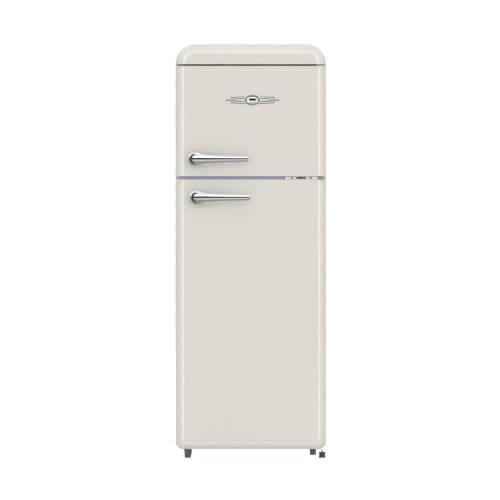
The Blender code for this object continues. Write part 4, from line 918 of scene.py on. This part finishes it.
def liner(node, floor, ceiling, back, floor_rise):
    """A compartment's moulded lining: a lip round the mouth, rolled into walls with generous corners."""
    low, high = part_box(node)
    half = HALF_WIDTH - SIDE_WALL
    front = low.y

    def row(grow, depth, roll=0.0):
        bottom = floor + floor_rise(depth)
        corners = (-half - grow, bottom - grow), (half + grow, ceiling + grow)
        radius = LINER_CORNER + grow
        return inset_row(*corners, roll, radius, depth)

    depths = [front + 14 * MM + (back - LINER_CORNER - front - 14 * MM) * i / 30 for i in range(31)]
    for (place_at, _), ease in zip(STEP, STEP_EASE):
        depths += [place_at + ease * share for share in (-1, -0.5, 0, 0.5, 1)]
    depths.sort()
    lip = (low.x, low.z), (high.x, high.z)
    rows = [row(LINER, back + LINER), row(LINER, depths[-1])]
    rows += [row(LINER, depth) for depth in depths[::-1]]
    rows += [row(LINER, front + LINER + 1 * MM), inset_row(*lip, 0.0, 1 * MM, front + LINER)]
    rows += [inset_row(*lip, 0.0, 1 * MM, front + 0.5 * MM), inset_row(*lip, 0.5 * MM, 1 * MM, front)]
    rows += [row(LINER_ROLL * (1 - a), front + LINER_ROLL * (1 - b)) for b, a in quarter(4)]
    rows += [row(0.0, depth) for depth in depths]
    rows += [row(0.0, back - LINER_CORNER * b, LINER_CORNER * a) for a, b in quarter(5)[::-1]]
    return stack("Y", rows)


def fridge_step(depth):
    """How high the floor stands at a depth, eased into and out of the sloping step."""
    (start, _), (stop, rise) = STEP
    foot, head = STEP_EASE
    if depth <= start - foot:
        return 0.0
    if depth >= stop + head:
        return rise
    slope = rise / (stop - start)
    if depth < start + foot:
        return slope * (depth - start + foot) ** 2 / (4 * foot)
    if depth > stop - head:
        return rise - slope * (stop + head - depth) ** 2 / (4 * head)
    return slope * (depth - start)


def ledges(into, heights, front, back):
    """The moulded rails that a shelf slides on, on both walls."""
    half = HALF_WIDTH - SIDE_WALL
    for height in heights:
        for side in (-1, 1):
            wall, edge = side * (half + 1 * MM), side * (half - 8 * MM)
            low = (min(wall, edge), front, height - 6 * MM)
            high = (max(wall, edge), back, height)
            soft_box(low, high, 2.4 * MM, 3 * MM, "Y", into=into)


def linings():
    shelf_low, shelf_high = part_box("middle_shelf")
    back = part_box("freezer_evaporator")[0].y - LINER - 0.3 * MM
    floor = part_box("crisper_drawer")[0].z - 0.3 * MM
    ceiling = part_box("thermostat_housing")[1].z + 0.3 * MM
    bm = liner("fridge_liner", floor, ceiling, back, fridge_step)
    names = ("crisper_glass", "middle_shelf", "upper_shelf")
    ledges(bm, [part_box(name)[0].z - 0.3 * MM for name in names], shelf_low.y, shelf_high.y)
    piece("fridge_liner_moulding", bm, "liner", CABINET, "fridge_liner", angle=50)

    bm = liner("freezer_liner", FREEZER_FLOOR, FREEZER_CEILING, back, lambda depth: 0.0)
    ledges(bm, [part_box("freezer_shelf")[0].z - 0.3 * MM], shelf_low.y, shelf_high.y)
    piece("freezer_liner_moulding", bm, "liner", CABINET, "freezer_liner", angle=50)


FREEZER_FLOOR = 1039 * MM
FREEZER_CEILING = 1362.7 * MM
RIDGE = 22 * MM
RIDGE_ROUND = 8 * MM
PLUG_CORNER = 16 * MM


def door_panel(node, body, bottom, top):
    """The moulded inner panel: a sheet whose ridge plugs the compartment's mouth and frames a well."""
    low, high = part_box(node)
    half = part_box("bottle_bin")[1].x + 0.3 * MM + RIDGE
    sheet = (low.x, low.z), (high.x, high.z)
    plug = (-half, bottom), (half, top)
    face = low.y + LINER
    inner = high.y
    fillet = 4 * MM
    rows = [inset_row(*sheet, 0.0, 6 * MM, low.y), inset_row(*sheet, 0.0, 6 * MM, face - 0.6 * MM)]
    rows.append(inset_row(*sheet, 0.6 * MM, 6 * MM, face))
    for a, b in quarter(4):
        rows.append(inset_row(*plug, -fillet * (1 - b), PLUG_CORNER, face + fillet * (1 - a)))
    for a, b in quarter(5)[::-1]:
        rows.append(inset_row(*plug, RIDGE_ROUND * a, PLUG_CORNER, inner - RIDGE_ROUND * b))
    well = (plug[0][0] + RIDGE, plug[0][1] + RIDGE), (plug[1][0] - RIDGE, plug[1][1] - RIDGE)
    for a, b in quarter(5):
        rows.append(inset_row(*well, -RIDGE_ROUND * a, 5 * MM, inner - RIDGE_ROUND * b))
    for a, b in quarter(4)[::-1]:
        rows.append(inset_row(*well, fillet * (1 - b), 5 * MM, face + fillet * (1 - a)))
    piece(node + "_moulding", stack("Y", rows), "liner", body, node, angle=50)


def gasket(node, body):
    """A magnetic seal: a flat foot, a bellows and a bulge that meets the cabinet, mitred round the door."""
    low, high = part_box(node)
    outer = (low.x, low.z), (high.x, high.z)
    depth = high.y - low.y
    profile = ((0.0, 0.0), (0.0, 0.18), (3.2, 0.3), (1.2, 0.45), (1.0, 0.85), (2.2, 1.0), (9.5, 1.0))
    profile += ((11, 0.9), (11, 0.6), (9.0, 0.45), (13.5, 0.3), (17.5, 0.2), (18, 0.0))
    rows = [inset_row(*outer, inset * MM, 3 * MM, low.y + depth * share) for inset, share in profile]
    piece(node + "_seal", stack("Y", rows, closed=True, steps=3), "rubber", body, node)


def door_bin(node, body):
    """A clear tub with a thick rim and a rail along its front."""
    low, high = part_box(node)
    bm = tray(low, high, 2.5 * MM, (4 * MM, 20 * MM), 6 * MM, base=7 * MM)
    piece(node + "_tub", bm, "clear", body, node, angle=45)
    rail_low = (low.x + 16 * MM, high.y - 0.9 * MM, high.z - 15 * MM)
    rail_high = (high.x - 16 * MM, high.y, high.z - 9 * MM)
    rail = soft_box(rail_low, rail_high, 0.4 * MM, 2.9 * MM, "Y")
    piece(node + "_rail", rail, "chrome", body)


def shelf(node):
    """A glass pane in a moulded front and rear trim."""
    low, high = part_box(node)
    inset = 1.5 * MM
    pane = soft_box((low.x, low.y + inset, low.z), (high.x, high.y - inset, high.z), 3 * MM, 0.6 * MM)
    piece(node + "_pane", pane, "glass", CABINET, node)
    half = high.x - 9 * MM
    bm = bmesh.new()
    rims = ((low.y, low.y + 14 * MM, -2.4 * MM, 1.2 * MM), (high.y - 12 * MM, high.y, -2 * MM, 7 * MM))
    for front, back, below, above in rims:
        slab = (-half, front, low.z + below), (half, back, low.z - 0.1 * MM)
        soft_box(*slab, 1 * MM, 0.8 * MM, "X", into=bm)
        slab = (-half, front, high.z + 0.1 * MM), (half, back, high.z + above)
        soft_box(*slab, min(above / 2, 1.4 * MM) * 0.7, 0.8 * MM, "X", into=bm)
    face = (-half, low.y, low.z - 2.4 * MM), (half, low.y + 1.4 * MM, high.z + 1.2 * MM)
    soft_box(*face, 0.65 * MM, 0.8 * MM, "X", into=bm)
    piece(node + "_trim", bm, "liner", CABINET)


def crisper():
    low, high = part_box("crisper_drawer")
    foot_back = 49 * MM
    lean = high.y - foot_back
    tall = high.z - low.z

    def shift(height):
        return -lean * (1 - (height - low.z) / tall)

    proud = 4 * MM
    near = Vector((low.x, low.y + proud, low.z))
    bm = tray(near, high, 2.5 * MM, 14 * MM, 7 * MM, base=9 * MM, shift=shift)
    piece("crisper_drawer_tub", bm, "clear", "crisper", "crisper_drawer", angle=45)
    grip_low = (low.x + 6 * MM, low.y, high.z - 30 * MM)
    grip_high = (high.x - 6 * MM, low.y + proud + 1.2 * MM, high.z - 4 * MM)
    grip = soft_box(grip_low, grip_high, 2 * MM, 2 * MM, "Y")
    piece("crisper_drawer_grip", grip, "liner", "crisper")


def lamp_housing(pocket_low, pocket_high):
    """The ceiling housing, with a pocket that the lamp's cover sits in."""
    low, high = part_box("thermostat_housing")
    outer = (low.x, low.y), (high.x, high.y)
    gap = 0.3 * MM
    pocket = (pocket_low.x - gap, pocket_low.y - gap), (pocket_high.x + gap, pocket_high.y + gap)
    rows = [inset_row(*outer, 0.0, 12 * MM, high.z)]
    rows += [inset_row(*outer, 5 * MM * a, 12 * MM, low.z + 5 * MM * b) for a, b in quarter(5)[::-1]]
    rows += [inset_row(*pocket, -0.6 * MM, 4 * MM, low.z), inset_row(*pocket, 0.0, 4 * MM, low.z + 0.6 * MM)]
    rows += [inset_row(*pocket, 0.0, 4 * MM, high.z - 8 * MM)]
    piece("thermostat_housing_shell", stack("Z", rows), "liner", CABINET, "thermostat_housing")


def lamp_cover(low, high):
    bm = soft_box(low, high, 4 * MM, 0.5 * MM)
    ribs = 14
    for i in range(ribs):
        x = low.x + (high.x - low.x) * (i + 0.5) / ribs
        rib_low = (x - 1.2 * MM, low.y + 6 * MM, high.z - 0.2 * MM)
        rib_high = (x + 1.2 * MM, high.y - 6 * MM, high.z + 1 * MM)
        soft_box(rib_low, rib_high, 0.5 * MM, 0.4 * MM, "Y", into=bm)
    piece("lamp_cover_diffuser", bm, "frost", CABINET, "lamp_cover")


def lamp_bulb():
    """A threaded cap and a pear-shaped glass."""
    low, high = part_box("lamp_bulb")
    centre = (high.x, (low.y + high.y) / 2, (low.z + high.z) / 2)
    profile = [(8.6, 0.0), (9, -1), (9, -6)]
    for i in range(5):
        profile += [(8.2, -7 - 2 * i), (9, -8 - 2 * i)]
    profile += [(8.6, -18), (8.2, -21), (9.6, -27), (10, -32), (9.4, -38)]
    profile += [(7.4, -43.5), (4.4, -46.8), (1.2, -48)]
    piece("lamp_bulb_glass", lathe(scaled(profile), centre, "X", 32), "frost", CABINET, "lamp_bulb")


def thermostat():
    """The knob, a ribbed grip on a plain skirt, and its scale of growing marks on the housing."""
    low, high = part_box("thermostat_knob")
    centre = ((low.x + high.x) / 2, high.y, (low.z + high.z) / 2)
    radius = (high.x - low.x) / 2
    depth = high.y - low.y - 1.6 * MM
    profile = [(radius * 0.98, 0.0), (radius, -0.6 * MM)]
    profile += scaled(((1, 0.25), (0.96, 0.32)), radius, -depth)
    bm = lathe(profile, centre, "Y", 48)
    profile = scaled(((0.84, 0.3), (0.82, 0.9), (0.76, 0.98), (0.6, 1)), radius, -depth)
    lathe(profile, centre, "Y", 96, ribs=24, rib_depth=0.7 * MM, into=bm)
    piece("thermostat_knob_grip", bm, "dark", "knob", "thermostat_knob")
    mark_low = (centre[0] - 0.9 * MM, low.y + 0.8 * MM, centre[2] + radius * 0.05)
    mark_high = (centre[0] + 0.9 * MM, low.y + 3 * MM, centre[2] + radius * 0.7)
    mark = soft_box(mark_low, mark_high, 0.4 * MM, 0.3 * MM, "Y")
    piece("thermostat_knob_pointer", mark, "liner", "knob")
    bm = bmesh.new()
    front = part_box("thermostat_housing")[0].y
    for i in range(6):
        x = centre[0] + (20 + 3.4 * i) * MM
        tall = (1.2 + 0.7 * i) * MM
        mark_low = (x, front - 0.25 * MM, centre[2] - tall)
        mark_high = (x + 1.6 * MM, front + 0.4 * MM, centre[2] + tall)
        soft_box(mark_low, mark_high, 0.5 * MM, 0.1 * MM, "Y", into=bm)
    piece("thermostat_scale", bm, "dark", CABINET)


def lamp_switch():
    """A housing with a bore, and the plunger that the door pushes in."""
    low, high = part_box("switch_housing")
    plunger_low, plunger_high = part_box("switch_plunger")
    axis = ((plunger_low.x + plunger_high.x) / 2, 0, (plunger_low.z + plunger_high.z) / 2)
    outer = (low.x, low.z), (high.x, high.z)
    bore_half = 4.4 * MM
    bore = (axis[0] - bore_half, axis[2] - bore_half), (axis[0] + bore_half, axis[2] + bore_half)
    rows = [inset_row(*outer, 1.5 * MM, 4 * MM, high.y), inset_row(*outer, 0.0, 4 * MM, high.y - 1.5 * MM)]
    rows += [inset_row(*outer, 2 * MM * a, 4 * MM, low.y + 2 * MM * b) for a, b in quarter(4)[::-1]]
    rows += [(bore[0], bore[1], bore_half * 0.98, low.y + depth) for depth in (0.0, 20 * MM)]
    piece("switch_housing_shell", stack("Y", rows), "liner", CABINET, "switch_housing")
    r = (plunger_high.x - plunger_low.x) / 2
    front, rear = plunger_low.y, plunger_high.y
    profile = [(r * 0.25, front), (r * 0.6, front + 0.25 * MM), (r * 0.88, front + 1 * MM)]
    profile += [(r, front + 2.2 * MM), (r, rear - 0.5 * MM), (r * 0.9, rear)]
    piece("switch_plunger_pin", lathe(profile, axis, "Y", 28), "liner", "plunger", "switch_plunger")


def inside():
    linings()
    door_panel("freezer_door_panel", FREEZER, FREEZER_FLOOR + 8 * MM, FREEZER_CEILING - 8 * MM)
    fridge_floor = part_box("crisper_drawer")[0].z - 0.3 * MM
    fridge_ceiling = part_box("thermostat_housing")[1].z + 0.3 * MM
    door_panel("fridge_door_panel", FRIDGE, fridge_floor + 8 * MM, fridge_ceiling - 8 * MM)
    gasket("freezer_door_gasket", FREEZER)
    gasket("fridge_door_gasket", FRIDGE)
    for node in ("freezer_bin_lower", "freezer_bin_upper"):
        door_bin(node, FREEZER)
    for node in ("bottle_bin", "middle_bin", "top_bin"):
        door_bin(node, FRIDGE)
    for node in ("crisper_glass", "middle_shelf", "upper_shelf", "freezer_shelf"):
        shelf(node)
    crisper()
    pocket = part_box("lamp_cover")
    lamp_housing(*pocket)
    lamp_cover(*pocket)
    lamp_bulb()
    thermostat()
    lamp_switch()


# ======== The back ========
# One end of the drier's capsule, in shares of its radius and of its height.
DRIER_END = ((0.34, 0), (0.36, 0.035), (0.62, 0.075), (0.9, 0.115), (1, 0.16), (1, 0.2))
DRIER_END += ((0.94, 0.22), (1, 0.24))


def compressor():
    low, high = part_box("compressor")
    centre = ((low.x + high.x) / 2, (low.y + high.y) / 2, low.z)
    radius = 66 * MM
    tall = high.z - low.z
    profile = scaled(((0.5, 5), (0.78, 8), (0.93, 18), (0.965, 32)), radius)
    seam = tall * 0.54
    profile += [(radius * 0.965, seam - 4 * MM), (radius, seam - 3.4 * MM)]
    profile += [(radius, seam + 1 * MM), (radius * 0.95, seam + 2 * MM)]
    for i in range(9):
        angle = math.radians(90 * i / 8)
        height = tall * (0.6 + 0.4 * math.sin(angle))
        profile.append((radius * (0.28 + 0.67 * math.cos(angle)), height))
    bm = lathe(profile, centre, sides=56)
    for side in (-1, 1):
        x = centre[0] + side * 66 * MM
        foot = (x - 29 * MM, low.y + 26 * MM, low.z), (x + 29 * MM, high.y - 26 * MM, low.z + 9 * MM)
        soft_box(*foot, 10 * MM, 1.5 * MM, into=bm)
        bridge_low = (x - 29 * MM, low.y + 40 * MM, low.z + 4 * MM)
        bridge_high = (x + 8 * MM, high.y - 40 * MM, low.z + 22 * MM)
        soft_box(bridge_low, bridge_high, 5 * MM, 2 * MM, into=bm)
    piece("compressor_shell", bm, "enamel", CABINET, "compressor")
    seats = []
    for side in (-1, 1):
        for end in (-1, 1):
            seats.append((centre[0] + side * 82 * MM, centre[1] + end * 28 * MM, low.z + 9 * MM))
    screws("compressor_bolts", seats, "Z", 5 * MM, 3.5 * MM)

    low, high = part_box("start_relay")
    bm = soft_box(low, high, 4 * MM, 2 * MM, "X")
    clip = (low.x + 5 * MM, low.y + 4 * MM, high.z - 0.6 * MM), (low.x + 12 * MM, high.y - 4 * MM, high.z)
    soft_box(*clip, 0.2 * MM, 0.2 * MM, "Z", into=bm)
    piece("start_relay_cover", bm, "dark", CABINET, "start_relay")

    low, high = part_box("drip_tray")
    bm = tray(low, high, 2.2 * MM, 12 * MM, 3 * MM, base=4 * MM)
    piece("drip_tray_pan", bm, "dark", CABINET, "drip_tray", angle=45)

    low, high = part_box("filter_drier")
    centre = ((low.x + high.x) / 2, (low.y + high.y) / 2, low.z)
    r, tall = (high.x - low.x) / 2, high.z - low.z
    profile = scaled(DRIER_END, r, tall) + scaled([(a, 1 - b) for a, b in DRIER_END[::-1]], r, tall)
    piece("filter_drier_capsule", lathe(profile, centre, sides=36), "copper", CABINET, "filter_drier")


WIRE_RADIUS = 0.7 * MM
WIRE_PITCH = 8 * MM


def condenser_wires():
    """The thin rods welded down the back of the serpentine, which turn a tube into a condenser."""
    left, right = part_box("condenser_bracket_left"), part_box("condenser_bracket_right")
    tube_back = 292 * MM
    low, high = left[0].z + 22 * MM, left[1].z - 22 * MM
    y = tube_back + WIRE_RADIUS * 0.6
    reach = 196 * MM
    bm = bmesh.new()
    count = int(2 * reach / WIRE_PITCH)
    for i in range(count + 1):
        x = -reach + 2 * reach * i / count
        if any(box[0].x - 2 * MM < x < box[1].x + 2 * MM for box in (left, right)):
            continue
        lathe([(WIRE_RADIUS, low), (WIRE_RADIUS, high)], (x, y, 0), sides=8, into=bm)
    piece("condenser_wires", bm, "enamel", CABINET, angle=60)


def back_screws():
    low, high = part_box("back_panel")
    inset = 9 * MM
    seats = []
    for i in range(7):
        z = low.z + inset + (high.z - low.z - 2 * inset) * i / 6
        seats += [(low.x + inset, high.y, z), (high.x - inset, high.y, z)]
    for i in range(1, 4):
        x = low.x + (high.x - low.x) * i / 4
        seats += [(x, high.y, high.z - inset), (x, high.y, low.z + inset)]
    screws("back_panel_screws", seats, "Y", 3.6 * MM, 1.6 * MM)


def gland():
    low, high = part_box("cord_gland")
    centre = ((low.x + high.x) / 2, low.y, (low.z + high.z) / 2)
    r = (high.x - low.x) / 2
    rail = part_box("compressor_rail")[1].y - low.y
    end = high.y - low.y
    inner = r * 0.35
    profile = [(inner, 0.0), (r * 0.6, 0.0), (r * 0.7, rail - 0.4 * MM), (r, rail), (r, rail + 3.4 * MM)]
    profile += [(r * 0.9, rail + 4 * MM), (r * 0.72, rail + 4.4 * MM), (r * 0.66, end - 0.6 * MM)]
    profile += [(r * 0.6, end), (inner, end)]
    ring = lathe(profile, centre, "Y", 36, closed=True)
    piece("cord_gland_grommet", ring, "dark", CABINET, "cord_gland")


def back():
    compressor()
    condenser_wires()
    back_screws()
    gland()


# ======== Stage ========
FLOOR_SIZE = 60.0
FLOOR_GLOW = 0.56  # what the floor adds to the light on the object
FLOOR_SEEN = 0.88  # and what it adds to its own look, so that only the feet's contact shows
CAMERA_DISTANCE = 28.0
CAMERA_HEIGHT = 748.2 * MM
CAMERA_X = -2.8 * MM
VIEW_WIDTH = 1794 * MM  # what the frame spans at the doors' front
SENSOR = 36.0
SOFTBOX_AIM = (0, DOOR_FRONT, 0.8)
SOFTBOX_DISTANCE = 3.6
# Each one's azimuth and elevation in degrees, width and height in metres, and power in watts.
SOFTBOXES = {
    "top_softbox": (0, 27, 3.4, 0.9, 13),
    "left_softbox": (-24, 2, 1.2, 2.9, 22),
    "right_softbox": (31, 2, 1.5, 2.9, 23),
}


def camera():
    data = bpy.data.cameras.new("camera")
    data.sensor_width = SENSOR
    data.lens = SENSOR * CAMERA_DISTANCE / VIEW_WIDTH
    data.clip_end = 100.0
    made = bpy.data.objects.new("camera", data)
    made.location = (CAMERA_X, DOOR_FRONT - CAMERA_DISTANCE, CAMERA_HEIGHT)
    made.rotation_euler = (math.radians(90), 0, 0)
    bpy.context.scene.collection.objects.link(made)
    bpy.context.scene.camera = made


def softbox(name, azimuth, elevation, width, height, power):
    data = bpy.data.lights.new(name, "AREA")
    data.shape = "RECTANGLE"
    data.size = width
    data.size_y = height
    data.energy = power
    made = bpy.data.objects.new(name, data)
    a, e = math.radians(azimuth), math.radians(elevation)
    away = Vector((math.sin(a) * math.cos(e), -math.cos(a) * math.cos(e), math.sin(e)))
    made.location = Vector(SOFTBOX_AIM) + away * SOFTBOX_DISTANCE
    made.rotation_euler = away.to_track_quat("Z", "Y").to_euler()
    bpy.context.scene.collection.objects.link(made)


def floor():
    half = FLOOR_SIZE / 2
    bm = bmesh.new()
    corners = [(-half, -half), (half, -half), (half, half), (-half, half)]
    bm.faces.new([bm.verts.new((x, y, 0)) for x, y in corners])
    mesh = bpy.data.meshes.new("floor")
    bm.to_mesh(mesh)
    bm.free()
    look = Nodes("pale_floor")
    look.set(Specular_IOR_Level=0.2, Emission_Color=(1, 1, 1, 1))
    seen = look.add("ShaderNodeLightPath").outputs["Is Camera Ray"]
    look.link(look.span(seen, FLOOR_GLOW, FLOOR_SEEN), look.shader.inputs["Emission Strength"])
    look.colour(look.blend(look.noise(0.8, 2.0), (0.41, 0.41, 0.41), (0.43, 0.43, 0.43)))
    look.rough(look.span(look.noise(3.0, 2.0), 0.7, 0.85))
    mesh.materials.append(look.material)
    made = bpy.data.objects.new("floor", mesh)
    made.visible_glossy = False  # chrome shows the studio's grey gradient there instead
    bpy.context.scene.collection.objects.link(made)


# The studio's brightness by height, as (sine of the elevation, brightness) pairs. In front it is dark from
# the horizon up to the overhead light, so that chrome shows a crisp dark line. Elsewhere it is grey.
FRONT_LIGHT = ((-1.0, 0.1), (-0.85, 0.28), (-0.6, 0.75), (-0.04, 0.9), (-0.015, 0.03), (0.33, 0.03))
FRONT_LIGHT += ((0.38, 0.9), (0.6, 1.35), (1.0, 0.85))
SIDE_LIGHT = ((-1.0, 0.3), (-0.1, 0.5), (-0.02, 0.42), (0.2, 0.55), (0.5, 1.08), (1.0, 1.05))
FRONT_EDGE = (0.80, 0.93)  # how squarely a direction faces front where that gradient begins and is whole
BACKDROP_LIGHT = 1.06


def height_ramp(tree, height, stops):
    """A colour ramp over the sine of the elevation."""
    ramp = tree.nodes.new("ShaderNodeValToRGB")
    tree.links.new(height, ramp.inputs["Fac"])
    elements = ramp.color_ramp.elements
    for index, (level, light) in enumerate(stops):
        position = (level + 1) / 2
        stop = elements[index] if index < 2 else elements.new(position)
        stop.position = position
        stop.color = (light, light, light, 1)
    return ramp.outputs["Color"]


def world():
    """A white studio: plain white to the camera, and shaded by height to everything else."""
    made = bpy.data.worlds.new("studio")
    bpy.context.scene.world = made
    made.use_nodes = True
    tree = made.node_tree
    background = tree.nodes["Background"]
    coords = tree.nodes.new("ShaderNodeTexCoord")
    split = tree.nodes.new("ShaderNodeSeparateXYZ")
    tree.links.new(coords.outputs["Generated"], split.inputs["Vector"])
    lift = tree.nodes.new("ShaderNodeMapRange")
    lift.inputs["From Min"].default_value = -1.0
    tree.links.new(split.outputs["Z"], lift.inputs["Value"])
    facing = tree.nodes.new("ShaderNodeMapRange")
    facing.inputs["From Min"].default_value = -FRONT_EDGE[0]
    facing.inputs["From Max"].default_value = -FRONT_EDGE[1]
    tree.links.new(split.outputs["Y"], facing.inputs["Value"])
    path = tree.nodes.new("ShaderNodeLightPath")
    gradients = [height_ramp(tree, lift.outputs["Result"], stops) for stops in (SIDE_LIGHT, FRONT_LIGHT)]
    studio = tree.nodes.new("ShaderNodeMix")
    studio.data_type = "RGBA"
    tree.links.new(facing.outputs["Result"], studio.inputs["Factor"])
    tree.links.new(gradients[0], studio.inputs["A"])
    tree.links.new(gradients[1], studio.inputs["B"])
    seen = tree.nodes.new("ShaderNodeMix")
    seen.data_type = "RGBA"
    seen.inputs["B"].default_value = (BACKDROP_LIGHT, BACKDROP_LIGHT, BACKDROP_LIGHT, 1)
    tree.links.new(path.outputs["Is Camera Ray"], seen.inputs["Factor"])
    tree.links.new(studio.outputs["Result"], seen.inputs["A"])
    tree.links.new(seen.outputs["Result"], background.inputs["Color"])


def stage():
    scene = bpy.context.scene
    scene.view_settings.view_transform = "Standard"
    scene.view_settings.look = "None"
    world()
    floor()
    camera()
    for name, values in SOFTBOXES.items():
        softbox(name, *values)


doors()
top_cover()
cabinet_shell()
mullion()
handle("freezer", FREEZER)
handle("fridge", FRIDGE)
badge()
hinges()
feet()
inside()
back()
finish_cad_nodes()
stage()
